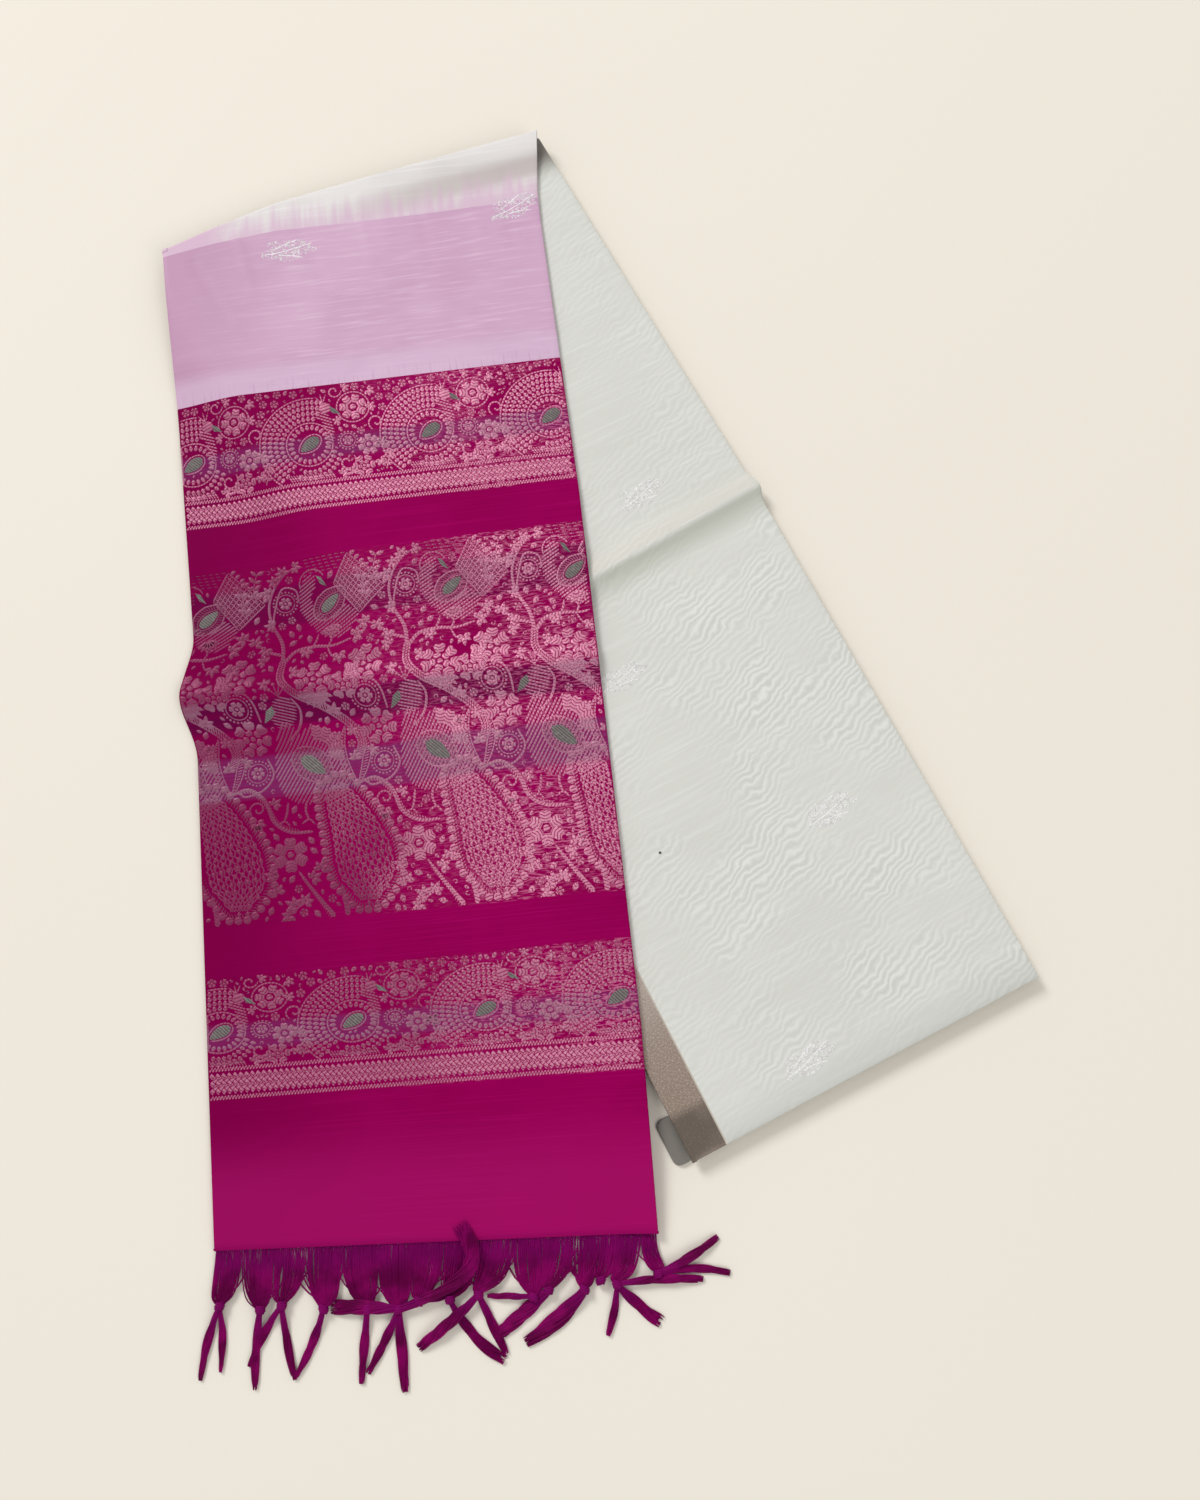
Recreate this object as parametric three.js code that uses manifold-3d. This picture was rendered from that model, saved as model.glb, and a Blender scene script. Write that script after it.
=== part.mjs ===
// A silk-cotton saree, folded lengthways in quarters and then over itself once, lying flat.
// One leg of the folded strip is the mint body with its zari border. The other leg lies across it:
// cream, lilac, and the magenta pallu with three brocade bands, ending in a knotted fringe.
// Millimetres, +Z up. X runs across the pallu and +Y towards the top fold.

import * as THREE from 'three';
import Module from 'manifold-3d';

// ---- driving dimensions ------------------------------------------------------------------------
const SEAM_GAP = 0.3;          // between two pieces that meet
const BODY_UNDER = 9.0;        // height of the hidden layers under the body leg
const BODY_WALL = 1.3;         // the stretch of the body leg that shows
const PALLU_UNDER = 1.7;       // the three hidden layers under the pallu leg
const PALLU_WALL = 1.2;        // the stretch of the pallu leg that shows
const BODY_LEVEL = BODY_UNDER + SEAM_GAP + BODY_WALL / 2;
const BODY_TOP = BODY_UNDER + SEAM_GAP + BODY_WALL;
const REST_ON_BODY = BODY_TOP + 0.45;
const PALLU_LEVEL = PALLU_UNDER + SEAM_GAP + PALLU_WALL / 2;
const STRIP_WIDTH = 288;       // the cloth, 1150 mm wide, folded lengthways in quarters
const BODY_WIDTH = 262;        // the body leg is a little narrower at its bottom end
const ZARI_WIDTH = 26;         // gold border along the body's left edge
const DROP_RUN = 34;           // how far the pallu takes to come down from the body to the table
const DROP_START = 13;         // it starts this far outside the body's edge
const EDGE_ROUND = 0.45;       // soft edge of a wall
const FOLD_DROOP = 2.0;        // the body's folded edges turn down by this much
const DROOP_RUN = 3.6;

// The top fold, from its left end to its right end, with a slight kink outwards.
const FOLD = {
  left: [-331.5, 384.4],
  right: [-48.8, 486.8],
  bow: [
    { across: 0.0, out: 0.0 },
    { across: 0.14, out: 5.4 },
    { across: 0.31, out: 9.8 },
    { across: 0.55, out: 7.0 },
    { across: 1.0, out: 0.0 },
  ],
  bowReach: 70,                // the bow is gone this far along the cloth
  looseRise: 3.4,              // the fold is a loose loop towards its right end
  looseReach: 34,
};

// Edges of the two legs: straight runs, each up to a distance along the edge, at a heading in degrees.
const PALLU_LEFT_EDGE = [
  { upTo: 308, heading: -82.4 },
  { upTo: 900, heading: -84.3 },
];
const PALLU_RIGHT_EDGE = [
  { upTo: 52, heading: -89.0 },
  { upTo: 78, heading: -84.0 },
  { upTo: 300, heading: -82.2 },
  { upTo: 680, heading: -83.6 },
  { upTo: 900, heading: -85.5 },
];
const BODY_LEFT_EDGE = [
  { upTo: 403.6, heading: -56.4 },
  { upTo: 900, heading: -62.6 },
];
const BODY_RIGHT_EDGE = [
  { upTo: 334.4, heading: -61.05 },
  { upTo: 900, heading: -62.7 },
];

// Rows where one stretch ends and the next begins: distance from the fold along each edge.
const PALLU_ROWS = {
  fold: { left: 0, right: 0 },
  creamEnd: { left: 7, right: 58 },
  lilacEnd: { left: 127.6, right: 193.1 },
  bandUpperEnd: { left: 224.4, right: 290.0 },
  plainUpperEnd: { left: 258.4, right: 322.9 },
  bandWideEnd: { left: 513.8, right: 590.7 },
  plainLowerEnd: { left: 547.5, right: 621.8 },
  bandLowerEnd: { left: 627.6, right: 708.4 },
  clothEnd: { left: 721.1, right: 812.5 },
};
const BODY_ROWS = {
  fold: { left: 0, right: 0 },
  crease: { left: 390.6, right: 334.4 },
  bottom: { left: 769.6, right: 730.3 },
};

// The two large creases, across the pallu's wide band and across the body.
const PALLU_CREASE = { left: 350, right: 424, height: 3.4, near: 15, far: 27, flare: 10.5, flareRun: 46 };
const BODY_CREASE = {
  height: 2.6, above: 17, below: 9, startsAt: 0.36, fullAt: 0.46, tip: 3.5, tipRun: 15, heading: 28,
};
const BODY_CREASE_LIFT = { at: [-12, 120], height: 3.2, spread: 40 };

// Corner of the under layers that shows beside the gold border, at the body's bottom fold.
const FLAP = { out: 11, along: 34, thick: 2.6, corner: 6, tuck: 0.8 };

// Fringe: the warp ends, gathered into bunches and knotted. A row for each bunch.
// at: place along the cloth's end; knotX, knotY: the knot from the bunch's root; spread: root width.
const FRINGE_STRIP = { width: 4.2, low: 0.5, high: 2.6 };
const FRINGE = { fanThick: 1.5, tailThick: 1.9, knotRadius: 3.3, fanEnd: 4.4, knotLevel: 3.9, floorGap: 0.3 };
const BUNCHES = [
  { at: 0.028, knotX: -2, knotY: -33, spread: 17 },
  { at: 0.098, knotX: 4, knotY: -36, spread: 19 },
  { at: 0.170, knotX: -3, knotY: -34, spread: 18 },
  { at: 0.246, knotX: 2, knotY: -37, spread: 21 },
  { at: 0.330, knotX: 6, knotY: -38, spread: 23 },
  { at: 0.410, knotX: 3, knotY: -39, spread: 21 },
  { at: 0.482, knotX: -5, knotY: -35, spread: 18 },
  { at: 0.555, knotX: -6, knotY: -35, spread: 20 },
  { at: 0.636, knotX: -11, knotY: -33, spread: 21 },
  { at: 0.714, knotX: 2, knotY: -35, spread: 20 },
  { at: 0.782, knotX: -8, knotY: -32, spread: 17 },
  { at: 0.838, knotX: -1, knotY: -32, spread: 15 },
  { at: 0.888, knotX: -5, knotY: -27, spread: 13 },
  { at: 0.938, knotX: -9, knotY: -30, spread: 13 },
  { at: 0.982, knotX: 5, knotY: -24, spread: 9 },
];
// Tails below the knots. heading in degrees, curl: turn over its length, tip: width left at the end,
// lift: how high it arches over what it crosses.
const TAILS = [
  { bunch: 0, heading: -112, curl: 20, length: 46, width: 5.0, tip: 0.5, lift: 0 },
  { bunch: 0, heading: -80, curl: -14, length: 40, width: 4.4, tip: 0.5, lift: 0 },
  { bunch: 1, heading: -97, curl: 12, length: 48, width: 5.4, tip: 0.6, lift: 0 },
  { bunch: 2, heading: -126, curl: 18, length: 42, width: 5.0, tip: 0.5, lift: 0 },
  { bunch: 2, heading: -82, curl: 10, length: 46, width: 4.8, tip: 0.8, lift: 0 },
  { bunch: 3, heading: -104, curl: -16, length: 44, width: 5.2, tip: 0.5, lift: 0 },
  { bunch: 4, heading: -95, curl: 4, length: 45, width: 5.2, tip: 0.6, lift: 0 },
  { bunch: 5, heading: -185, curl: 8, length: 44, width: 8.0, tip: 1.1, lift: 3.4 },
  { bunch: 5, heading: -112, curl: -8, length: 43, width: 5.2, tip: 0.6, lift: 0 },
  { bunch: 5, heading: -85, curl: 3, length: 50, width: 6.4, tip: 0.7, lift: 0 },
  { bunch: 6, heading: 4, curl: 14, length: 22, width: 4.2, tip: 0.8, lift: 0 },
  { bunch: 7, heading: -62, curl: 34, length: 52, width: 6.0, tip: 1.2, lift: 0 },
  { bunch: 8, heading: -136, curl: -8, length: 50, width: 6.6, tip: 0.8, lift: 3.4 },
  { bunch: 8, heading: -64, curl: 2, length: 40, width: 5.4, tip: 0.9, lift: 0 },
  { bunch: 9, heading: 178, curl: 4, length: 30, width: 3.8, tip: 0.7, lift: 2.2 },
  { bunch: 10, heading: -138, curl: -4, length: 42, width: 10.0, tip: 0.9, lift: 0 },
  { bunch: 11, heading: -128, curl: -24, length: 50, width: 12.0, tip: 0.6, lift: 0 },
  { bunch: 13, heading: -92, curl: -18, length: 32, width: 4.6, tip: 0.7, lift: 0 },
  { bunch: 13, heading: -46, curl: 14, length: 37, width: 6.2, tip: 1.2, lift: 0 },
  { bunch: 13, heading: 10, curl: -16, length: 56, width: 5.2, tip: 0.8, lift: 2.6 },
  { bunch: 14, heading: 12, curl: -26, length: 47, width: 4.8, tip: 0.7, lift: 0 },
  { bunch: 14, heading: 22, curl: 16, length: 45, width: 5.6, tip: 0.6, lift: 2.0 },
];

const FINISH = {
  mint: { color: 0xdbdad4, roughness: 0.62 },
  cream: { color: 0xdcd6d6, roughness: 0.62 },
  lilac: { color: 0xd1abc5, roughness: 0.66 },
  magenta: { color: 0x93054f, roughness: 0.6 },
  brocade: { color: 0xa83a78, roughness: 0.5 },
  zari: { color: 0xa89480, roughness: 0.45, metalness: 0.5 },
  layers: { color: 0xb7b4ae, roughness: 0.7 },
  palluLayers: { color: 0x8c2358, roughness: 0.7 },
  fringe: { color: 0x6c0540, roughness: 0.7 },
};

// ---- small helpers -------------------------------------------------------------------------------
const radians = THREE.MathUtils.degToRad;
const mix = THREE.MathUtils.lerp;
const smooth = (low, high, x) => THREE.MathUtils.smoothstep(x, low, high);
const spread = (first, last, count) =>
  Array.from({ length: count + 1 }, (_, i) => mix(first, last, i / count));

function fromTable(rows, key, value, x) {
  const next = rows.findIndex((row) => row[key] >= x);
  if (next < 0) return rows[rows.length - 1][value];
  if (next === 0) return rows[0][value];
  const a = rows[next - 1];
  const b = rows[next];
  return mix(a[value], b[value], (x - a[key]) / (b[key] - a[key]));
}

// A point at a distance along an edge made of straight runs.
function edgePoint(start, runs, along) {
  const point = new THREE.Vector2(...start);
  let done = 0;
  for (const run of runs) {
    const step = Math.min(along, run.upTo) - done;
    if (step <= 0 && done > 0) break;
    const turn = radians(run.heading);
    point.x += step * Math.cos(turn);
    point.y += step * Math.sin(turn);
    done += step;
  }
  return point;
}

const hump = (x, run) => (Math.abs(x) < run ? (1 + Math.cos((Math.PI * x) / run)) / 2 : 0);

// ---- the folded strip ------------------------------------------------------------------------------
const foldDirection = new THREE.Vector2(...FOLD.right).sub(new THREE.Vector2(...FOLD.left)).normalize();
const foldOut = new THREE.Vector2(-foldDirection.y, foldDirection.x);

function palluPoint(u, row) {
  const left = edgePoint(FOLD.left, PALLU_LEFT_EDGE, row.left);
  left.x -= PALLU_CREASE.flare * hump(row.left - PALLU_CREASE.left, PALLU_CREASE.flareRun);
  const right = edgePoint(FOLD.right, PALLU_RIGHT_EDGE, row.right);
  const point = left.lerp(right, u);
  const along = mix(row.left, row.right, u);
  const bow = fromTable(FOLD.bow, 'across', 'out', u) * (1 - smooth(0, FOLD.bowReach, along));
  return point.addScaledVector(foldOut, bow);
}

function bodyPoint(u, row) {
  const left = edgePoint(FOLD.left, BODY_LEFT_EDGE, row.left);
  const right = edgePoint(FOLD.right, BODY_RIGHT_EDGE, row.right);
  const tip = BODY_CREASE.tip * hump(row.right - BODY_ROWS.crease.right, BODY_CREASE.tipRun);
  right.x += tip * Math.cos(radians(BODY_CREASE.heading));
  right.y += tip * Math.sin(radians(BODY_CREASE.heading));
  const point = left.lerp(right, u);
  const along = mix(row.left, row.right, u);
  const bow = fromTable(FOLD.bow, 'across', 'out', u) * (1 - smooth(0, FOLD.bowReach, along));
  return point.addScaledVector(foldOut, bow);
}

const between = (a, b, v) => ({ left: mix(a.left, b.left, v), right: mix(a.right, b.right, v) });

// Distance of a point from the body's left edge, positive over the body.
function overBody(point) {
  const corner = edgePoint(FOLD.left, BODY_LEFT_EDGE, BODY_LEFT_EDGE[0].upTo);
  const upper = radians(BODY_LEFT_EDGE[0].heading);
  const lower = radians(BODY_LEFT_EDGE[1].heading);
  const reach = (turn) => -Math.sin(turn) * (point.x - corner.x) + Math.cos(turn) * (point.y - corner.y);
  return Math.max(reach(upper), reach(lower));
}

// Height that the pallu leg rests at: on the body, on the table, or coming down between them.
function restHeight(point) {
  const fromLift = point.distanceTo(new THREE.Vector2(...BODY_CREASE_LIFT.at)) / BODY_CREASE_LIFT.spread;
  const lift = BODY_CREASE_LIFT.height * Math.exp(-fromLift * fromLift);
  const share = smooth(-DROP_START - DROP_RUN, -DROP_START, overBody(point));
  return share * (REST_ON_BODY + lift);
}

function palluRidge(u, row) {
  const crease = mix(PALLU_CREASE.left, PALLU_CREASE.right, u);
  const away = mix(row.left, row.right, u) - crease;
  const run = away < 0 ? PALLU_CREASE.near : PALLU_CREASE.far;
  return PALLU_CREASE.height * hump(away, run);
}

function bodyRidge(u, row) {
  const crease = mix(BODY_ROWS.crease.left, BODY_ROWS.crease.right, u);
  const away = mix(row.left, row.right, u) - crease;
  const run = away < 0 ? BODY_CREASE.above : BODY_CREASE.below;
  return BODY_CREASE.height * hump(away, run) * smooth(BODY_CREASE.startsAt, BODY_CREASE.fullAt, u);
}

function bodyDroop(u, row, point) {
  const side = point.distanceTo(bodyPoint(1, row));
  const end = mix(BODY_ROWS.bottom.left - row.left, BODY_ROWS.bottom.right - row.right, u);
  const inset = Math.min(side, end);
  return FOLD_DROOP * (1 - smooth(0, DROOP_RUN, inset));
}

// ---- walls ---------------------------------------------------------------------------------------
// A closed wall over a patch. surface(u, v) gives the middle of the cloth and the way it faces.
// us, vs: the grid. rings: the edge's profile, from the under side to the upper side, as rows of
// inset (mm) and level (-1 under, 1 upper). open: which edges are cloth edges and get that profile.
function wallGeometry({ us, vs, surface, thick, rings, open, width, length }) {
  const vertices = [];
  const faces = [];
  const add = (u, v, level) => {
    const { point, facing } = surface(u, v);
    vertices.push(point.clone().addScaledVector(facing, (level * thick) / 2));
    return vertices.length - 1;
  };
  const around = [];
  const lastU = us.length - 1;
  const lastV = vs.length - 1;
  for (let i = 0; i < lastU; i += 1) around.push([i, 0]);
  for (let j = 0; j < lastV; j += 1) around.push([lastU, j]);
  for (let i = lastU; i > 0; i -= 1) around.push([i, lastV]);
  for (let j = lastV; j > 0; j -= 1) around.push([0, j]);
  const place = (i, j, inset) => {
    const du = inset / width;
    const dv = inset / length;
    const u = THREE.MathUtils.clamp(us[i], us[0] + open.left * du, us[lastU] - open.right * du);
    const v = THREE.MathUtils.clamp(vs[j], vs[0] + open.start * dv, vs[lastV] - open.end * dv);
    return [u, v];
  };
  const loops = rings.map((ring) =>
    around.map(([i, j]) => add(...place(i, j, ring.inset), ring.level)));
  const cap = (loop, ring, upper) => {
    const grid = us.map(() => new Array(vs.length));
    around.forEach(([i, j], k) => { grid[i][j] = loop[k]; });
    for (let i = 1; i < lastU; i += 1) {
      for (let j = 1; j < lastV; j += 1) grid[i][j] = add(us[i], vs[j], ring.level);
    }
    for (let i = 0; i < lastU; i += 1) {
      for (let j = 0; j < lastV; j += 1) {
        const [a, b, c, d] = [grid[i][j], grid[i + 1][j], grid[i + 1][j + 1], grid[i][j + 1]];
        if (upper) faces.push(a, d, c, a, c, b);
        else faces.push(a, b, c, a, c, d);
      }
    }
  };
  cap(loops[0], rings[0], false);
  cap(loops[loops.length - 1], rings[rings.length - 1], true);
  for (let k = 0; k + 1 < loops.length; k += 1) {
    for (let i = 0; i < around.length; i += 1) {
      const j = (i + 1) % around.length;
      const low = loops[k];
      const high = loops[k + 1];
      faces.push(low[i], high[i], high[j], low[i], high[j], low[j]);
    }
  }
  const geometry = new THREE.BufferGeometry().setFromPoints(vertices);
  geometry.setIndex(faces);
  geometry.computeVertexNormals();
  return geometry;
}

const CLOTH_EDGE = [
  { inset: EDGE_ROUND, level: -1 },
  { inset: 0, level: 0 },
  { inset: EDGE_ROUND, level: 1 },
];
const UP = new THREE.Vector3(0, 0, 1);
const saree = new THREE.Group();

function addPiece(name, geometry, finish) {
  const material = new THREE.MeshStandardMaterial(finish);
  const mesh = new THREE.Mesh(geometry, material);
  mesh.name = name;
  saree.add(mesh);
}

// Values along a stretch, with the grid closer together where the cloth bends.
const PALLU_COLUMNS = spread(0, 1, 16);
const stretchLength = (from, to) => (to.left - from.left + to.right - from.right) / 2;

function palluSurface(from, to) {
  return (u, v) => {
    const row = between(from, to, v);
    const flat = palluPoint(u, row);
    const height = restHeight(flat) + PALLU_LEVEL + palluRidge(u, row) + loopRise(u, row);
    return { point: new THREE.Vector3(flat.x, flat.y, height), facing: UP };
  };
}

function loopRise(u, row) {
  const along = mix(row.left, row.right, u);
  const loose = FOLD.looseRise * smooth(0.2, 1, u);
  return loose * (1 - smooth(0, FOLD.looseReach, along));
}

// The stretches below the cream one, from the top down, with the number of grid rows in each.
const PALLU_STRETCHES = [
  { name: 'lilac_stretch', from: 'creamEnd', to: 'lilacEnd', rows: 6, finish: FINISH.lilac },
  { name: 'pallu_band_upper', from: 'lilacEnd', to: 'bandUpperEnd', rows: 5, finish: FINISH.brocade },
  { name: 'pallu_plain_upper', from: 'bandUpperEnd', to: 'plainUpperEnd', rows: 2, finish: FINISH.magenta },
  { name: 'pallu_band_wide', from: 'plainUpperEnd', to: 'bandWideEnd', rows: 24, finish: FINISH.brocade },
  { name: 'pallu_plain_lower', from: 'bandWideEnd', to: 'plainLowerEnd', rows: 2, finish: FINISH.magenta },
  { name: 'pallu_band_lower', from: 'plainLowerEnd', to: 'bandLowerEnd', rows: 5, finish: FINISH.brocade },
  { name: 'pallu_plain_end', from: 'bandLowerEnd', to: 'clothEnd', rows: 6, finish: FINISH.magenta },
];

function addPalluStretch({ name, from: fromRow, to: toRow, rows, finish }) {
  const from = PALLU_ROWS[fromRow];
  const to = PALLU_ROWS[toRow];
  const isEnd = toRow === 'clothEnd';
  const length = stretchLength(from, to);
  const half = SEAM_GAP / 2 / length;
  const vs = spread(0, 1, rows);
  vs[0] = half;
  vs[rows] = isEnd ? 1 : 1 - half;
  addPiece(name, wallGeometry({
    us: PALLU_COLUMNS,
    vs,
    surface: palluSurface(from, to),
    thick: PALLU_WALL,
    rings: CLOTH_EDGE,
    open: { left: 1, right: 1, start: 0, end: isEnd ? 1 : 0 },
    width: STRIP_WIDTH,
    length,
  }), finish);
}

// The cream stretch: the loop of the top fold, then the cloth down to where the lilac begins.
// v is in steps: turns of the loop first, then the run on top.
const LOOP_STEPS = 8;
const RUN_STEPS = 6;

function creamSurface(u, v) {
  const from = PALLU_ROWS.fold;
  const to = PALLU_ROWS.creamEnd;
  const edge = palluPoint(u, from);
  const topLevel = restHeight(edge) + PALLU_LEVEL + loopRise(u, from);
  const radius = (topLevel - BODY_LEVEL) / 2;
  const inner = radius + PALLU_WALL / 2;
  const length = mix(to.left, to.right, u);
  const start = inner / length;
  if (v <= LOOP_STEPS) {
    const turn = radians(mix(-90, 90, v / LOOP_STEPS));
    const out = edge.clone().sub(palluPoint(u, between(from, to, start))).normalize();
    const axis = edge.clone().addScaledVector(out, -inner);
    const point = new THREE.Vector3(axis.x, axis.y, BODY_LEVEL + radius);
    const facing = new THREE.Vector3(out.x * Math.cos(turn), out.y * Math.cos(turn), Math.sin(turn));
    point.addScaledVector(facing, radius);
    return { point, facing };
  }
  const run = (v - LOOP_STEPS) / RUN_STEPS;
  const row = between(from, to, mix(start, 1 - SEAM_GAP / 2 / length, run));
  const flat = palluPoint(u, row);
  const height = restHeight(flat) + PALLU_LEVEL + loopRise(u, row);
  return { point: new THREE.Vector3(flat.x, flat.y, mix(topLevel, height, smooth(0, 0.4, run))), facing: UP };
}

function addCream() {
  addPiece('cream_stretch', wallGeometry({
    us: PALLU_COLUMNS,
    vs: spread(0, LOOP_STEPS + RUN_STEPS, LOOP_STEPS + RUN_STEPS),
    surface: creamSurface,
    thick: PALLU_WALL,
    rings: CLOTH_EDGE,
    open: { left: 1, right: 1, start: 0, end: 0 },
    width: STRIP_WIDTH,
    length: 30,
  }), FINISH.cream);
}

// Hidden layers of the pallu leg, from inside the loop to just short of the cloth's end. Its grid
// rows are those of the stretches on it, so the two keep their gap everywhere.
function addPalluLayers() {
  const loopSide = { left: 4.4, right: 14 };
  const rows = spread(0, 1, 3).map((v) => between(loopSide, PALLU_ROWS.creamEnd, v));
  for (const stretch of PALLU_STRETCHES) {
    const from = PALLU_ROWS[stretch.from];
    const to = PALLU_ROWS[stretch.to];
    rows.push(...spread(0, 1, stretch.rows).slice(1).map((v) => between(from, to, v)));
  }
  const surface = (u, v) => {
    const k = Math.min(Math.floor(v), rows.length - 2);
    const flat = palluPoint(u, between(rows[k], rows[k + 1], v - k));
    return { point: new THREE.Vector3(flat.x, flat.y, restHeight(flat) + PALLU_UNDER / 2), facing: UP };
  };
  const last = rows.length - 1;
  addPiece('pallu_under_layers', wallGeometry({
    us: PALLU_COLUMNS,
    vs: spread(0, last, last),
    surface,
    thick: PALLU_UNDER,
    rings: [
      { inset: 1.6, level: -1 },
      { inset: 1.0, level: -0.55 },
      { inset: 1.7, level: -0.1 },
      { inset: 1.1, level: 0.4 },
      { inset: 1.6, level: 1 },
    ],
    open: { left: 1, right: 1, start: 1, end: 1 },
    width: STRIP_WIDTH,
    length: 15,
  }), FINISH.palluLayers);
}

// The body leg: hidden layers as one rounded solid with the layers' edges showing as grooves.
function addBodyLayers() {
  const from = { left: 4, right: 5 };
  const to = BODY_ROWS.bottom;
  const surface = (u, v) => {
    const flat = bodyPoint(u, between(from, to, v));
    return { point: new THREE.Vector3(flat.x, flat.y, BODY_UNDER / 2), facing: UP };
  };
  const layerEdges = [
    { inset: 2.4, height: 0 },
    { inset: 1.4, height: 0.9 },
    { inset: 2.1, height: 1.8 },
    { inset: 1.2, height: 2.9 },
    { inset: 2.0, height: 3.9 },
    { inset: 1.3, height: 5.0 },
    { inset: 2.2, height: 6.0 },
    { inset: 2.6, height: 6.6 },
    { inset: 5.2, height: BODY_UNDER },
  ];
  addPiece('body_under_layers', wallGeometry({
    us: spread(0, 1, 8),
    vs: spread(0, 1, 16),
    surface,
    thick: BODY_UNDER,
    rings: layerEdges.map((row) => ({ inset: row.inset, level: (2 * row.height) / BODY_UNDER - 1 })),
    open: { left: 1, right: 1, start: 1, end: 1 },
    width: BODY_WIDTH,
    length: stretchLength(from, to),
  }), FINISH.layers);
}

// One stretch of the body that shows: either the cloth or the gold border beside it.
function addBodyStretch(name, { fromRow, toRow, vs, columns, zari, finish, endOpen }) {
  const from = BODY_ROWS[fromRow];
  const to = BODY_ROWS[toRow];
  const length = stretchLength(from, to);
  const surface = (s, v) => {
    const row = between(from, to, v);
    const wide = bodyPoint(0, row).distanceTo(bodyPoint(1, row));
    const line = ZARI_WIDTH / wide;
    const gap = SEAM_GAP / 2 / wide;
    const u = zari ? mix(0, line - gap, s) : mix(line + gap, 1, s);
    const flat = bodyPoint(u, row);
    const height = BODY_LEVEL + bodyRidge(u, row) - bodyDroop(u, row, flat);
    return { point: new THREE.Vector3(flat.x, flat.y, height), facing: UP };
  };
  addPiece(name, wallGeometry({
    us: columns,
    vs,
    surface,
    thick: BODY_WALL,
    rings: CLOTH_EDGE,
    open: { left: zari ? 1 : 0, right: zari ? 0 : 1, start: 0, end: endOpen ? 1 : 0 },
    width: zari ? ZARI_WIDTH : BODY_WIDTH - ZARI_WIDTH,
    length,
  }), finish);
}

function addBody() {
  const upper = stretchLength(BODY_ROWS.fold, BODY_ROWS.crease);
  const lower = stretchLength(BODY_ROWS.crease, BODY_ROWS.bottom);
  const inFromFold = 6.2;                       // clear of the loop of the top fold
  const droopShare = DROOP_RUN / (BODY_WIDTH - ZARI_WIDTH);
  const clothColumns = [...spread(0, 0.9, 10), 0.96, 1 - droopShare, 1 - droopShare / 2, 1];
  const zariColumns = spread(0, 1, 2);
  // Rows are close together at the crease and at the bottom fold.
  const upperRows = [
    ...spread(inFromFold / upper, 1 - 30 / upper, 8),
    ...spread(1 - BODY_CREASE.above / upper, 1 - SEAM_GAP / 2 / upper, 4),
  ];
  const lowerRows = [
    ...spread(SEAM_GAP / 2 / lower, BODY_CREASE.below / lower, 3),
    ...spread(20 / lower, 1 - 12 / lower, 9),
    1 - DROOP_RUN / lower,
    1 - DROOP_RUN / 2 / lower,
    1,
  ];
  const upperPart = { fromRow: 'fold', toRow: 'crease', vs: upperRows };
  const lowerPart = { fromRow: 'crease', toRow: 'bottom', vs: lowerRows, endOpen: true };
  const cloth = { columns: clothColumns, zari: false, finish: FINISH.mint };
  const border = { columns: zariColumns, zari: true, finish: FINISH.zari };
  addBodyStretch('body_upper_stretch', { ...upperPart, ...cloth });
  addBodyStretch('body_lower_stretch', { ...lowerPart, ...cloth });
  addBodyStretch('zari_border_upper', { ...upperPart, ...border });
  addBodyStretch('zari_border_lower', { ...lowerPart, ...border });
}

// The corner of the under layers beside the border: a small slab with rounded corners.
function addFlap() {
  const turn = radians(BODY_LEFT_EDGE[1].heading);
  const corner = bodyPoint(0, BODY_ROWS.bottom);
  const bottomSlant = bodyPoint(1, BODY_ROWS.bottom).sub(corner).normalize();
  const back = new THREE.Vector2(-Math.cos(turn), -Math.sin(turn));
  const place = (out, along) =>
    corner.clone().addScaledVector(bottomSlant, -out).addScaledVector(back, along);
  const { out, along, corner: round, tuck, thick } = FLAP;
  const outline = [
    place(-tuck, 1.5),
    place(-tuck, along - 1),
    place(0, along),
    place(out - round, along - 1),
    place(out - 0.3 * round, along - 0.35 * round - 1),
    place(out, along - round - 2),
    place(out, round),
    place(out - 0.3 * round, 0.35 * round),
    place(out - round, 0.6),
  ];
  const shape = new THREE.Shape(outline);
  const bevel = 0.5;
  const geometry = new THREE.ExtrudeGeometry(shape, {
    depth: thick - 2 * bevel,
    bevelEnabled: true,
    bevelThickness: bevel,
    bevelSize: bevel,
    bevelOffset: -bevel,
    bevelSegments: 1,
  });
  geometry.translate(0, 0, bevel);
  addPiece('under_flap', geometry, FINISH.layers);
}

// ---- fringe --------------------------------------------------------------------------------------
const wasm = await Module();
wasm.setup();

// A lock of threads: a flat four-sided strand along a list of stations.
function lockSolid(stations) {
  const vertices = [];
  const triangles = [];
  stations.forEach((station, k) => {
    const next = stations[Math.min(k + 1, stations.length - 1)].at;
    const last = stations[Math.max(k - 1, 0)].at;
    const way = next.clone().sub(last).setZ(0).normalize();
    const side = new THREE.Vector3(-way.y, way.x, 0).multiplyScalar(station.width / 2);
    const up = new THREE.Vector3(0, 0, station.thick / 2);
    for (const offset of [side, up, side.clone().negate(), up.clone().negate()]) {
      vertices.push(...station.at.clone().add(offset).toArray());
    }
  });
  const rows = stations.length;
  for (let k = 0; k + 1 < rows; k += 1) {
    for (let i = 0; i < 4; i += 1) {
      const j = (i + 1) % 4;
      const [a, b, c, d] = [4 * k + i, 4 * k + j, 4 * k + 4 + j, 4 * k + 4 + i];
      triangles.push(a, b, c, a, c, d);
    }
  }
  triangles.push(0, 2, 1, 0, 3, 2);
  const end = 4 * (rows - 1);
  triangles.push(end, end + 1, end + 2, end, end + 2, end + 3);
  return solidOf(vertices, triangles);
}

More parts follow.
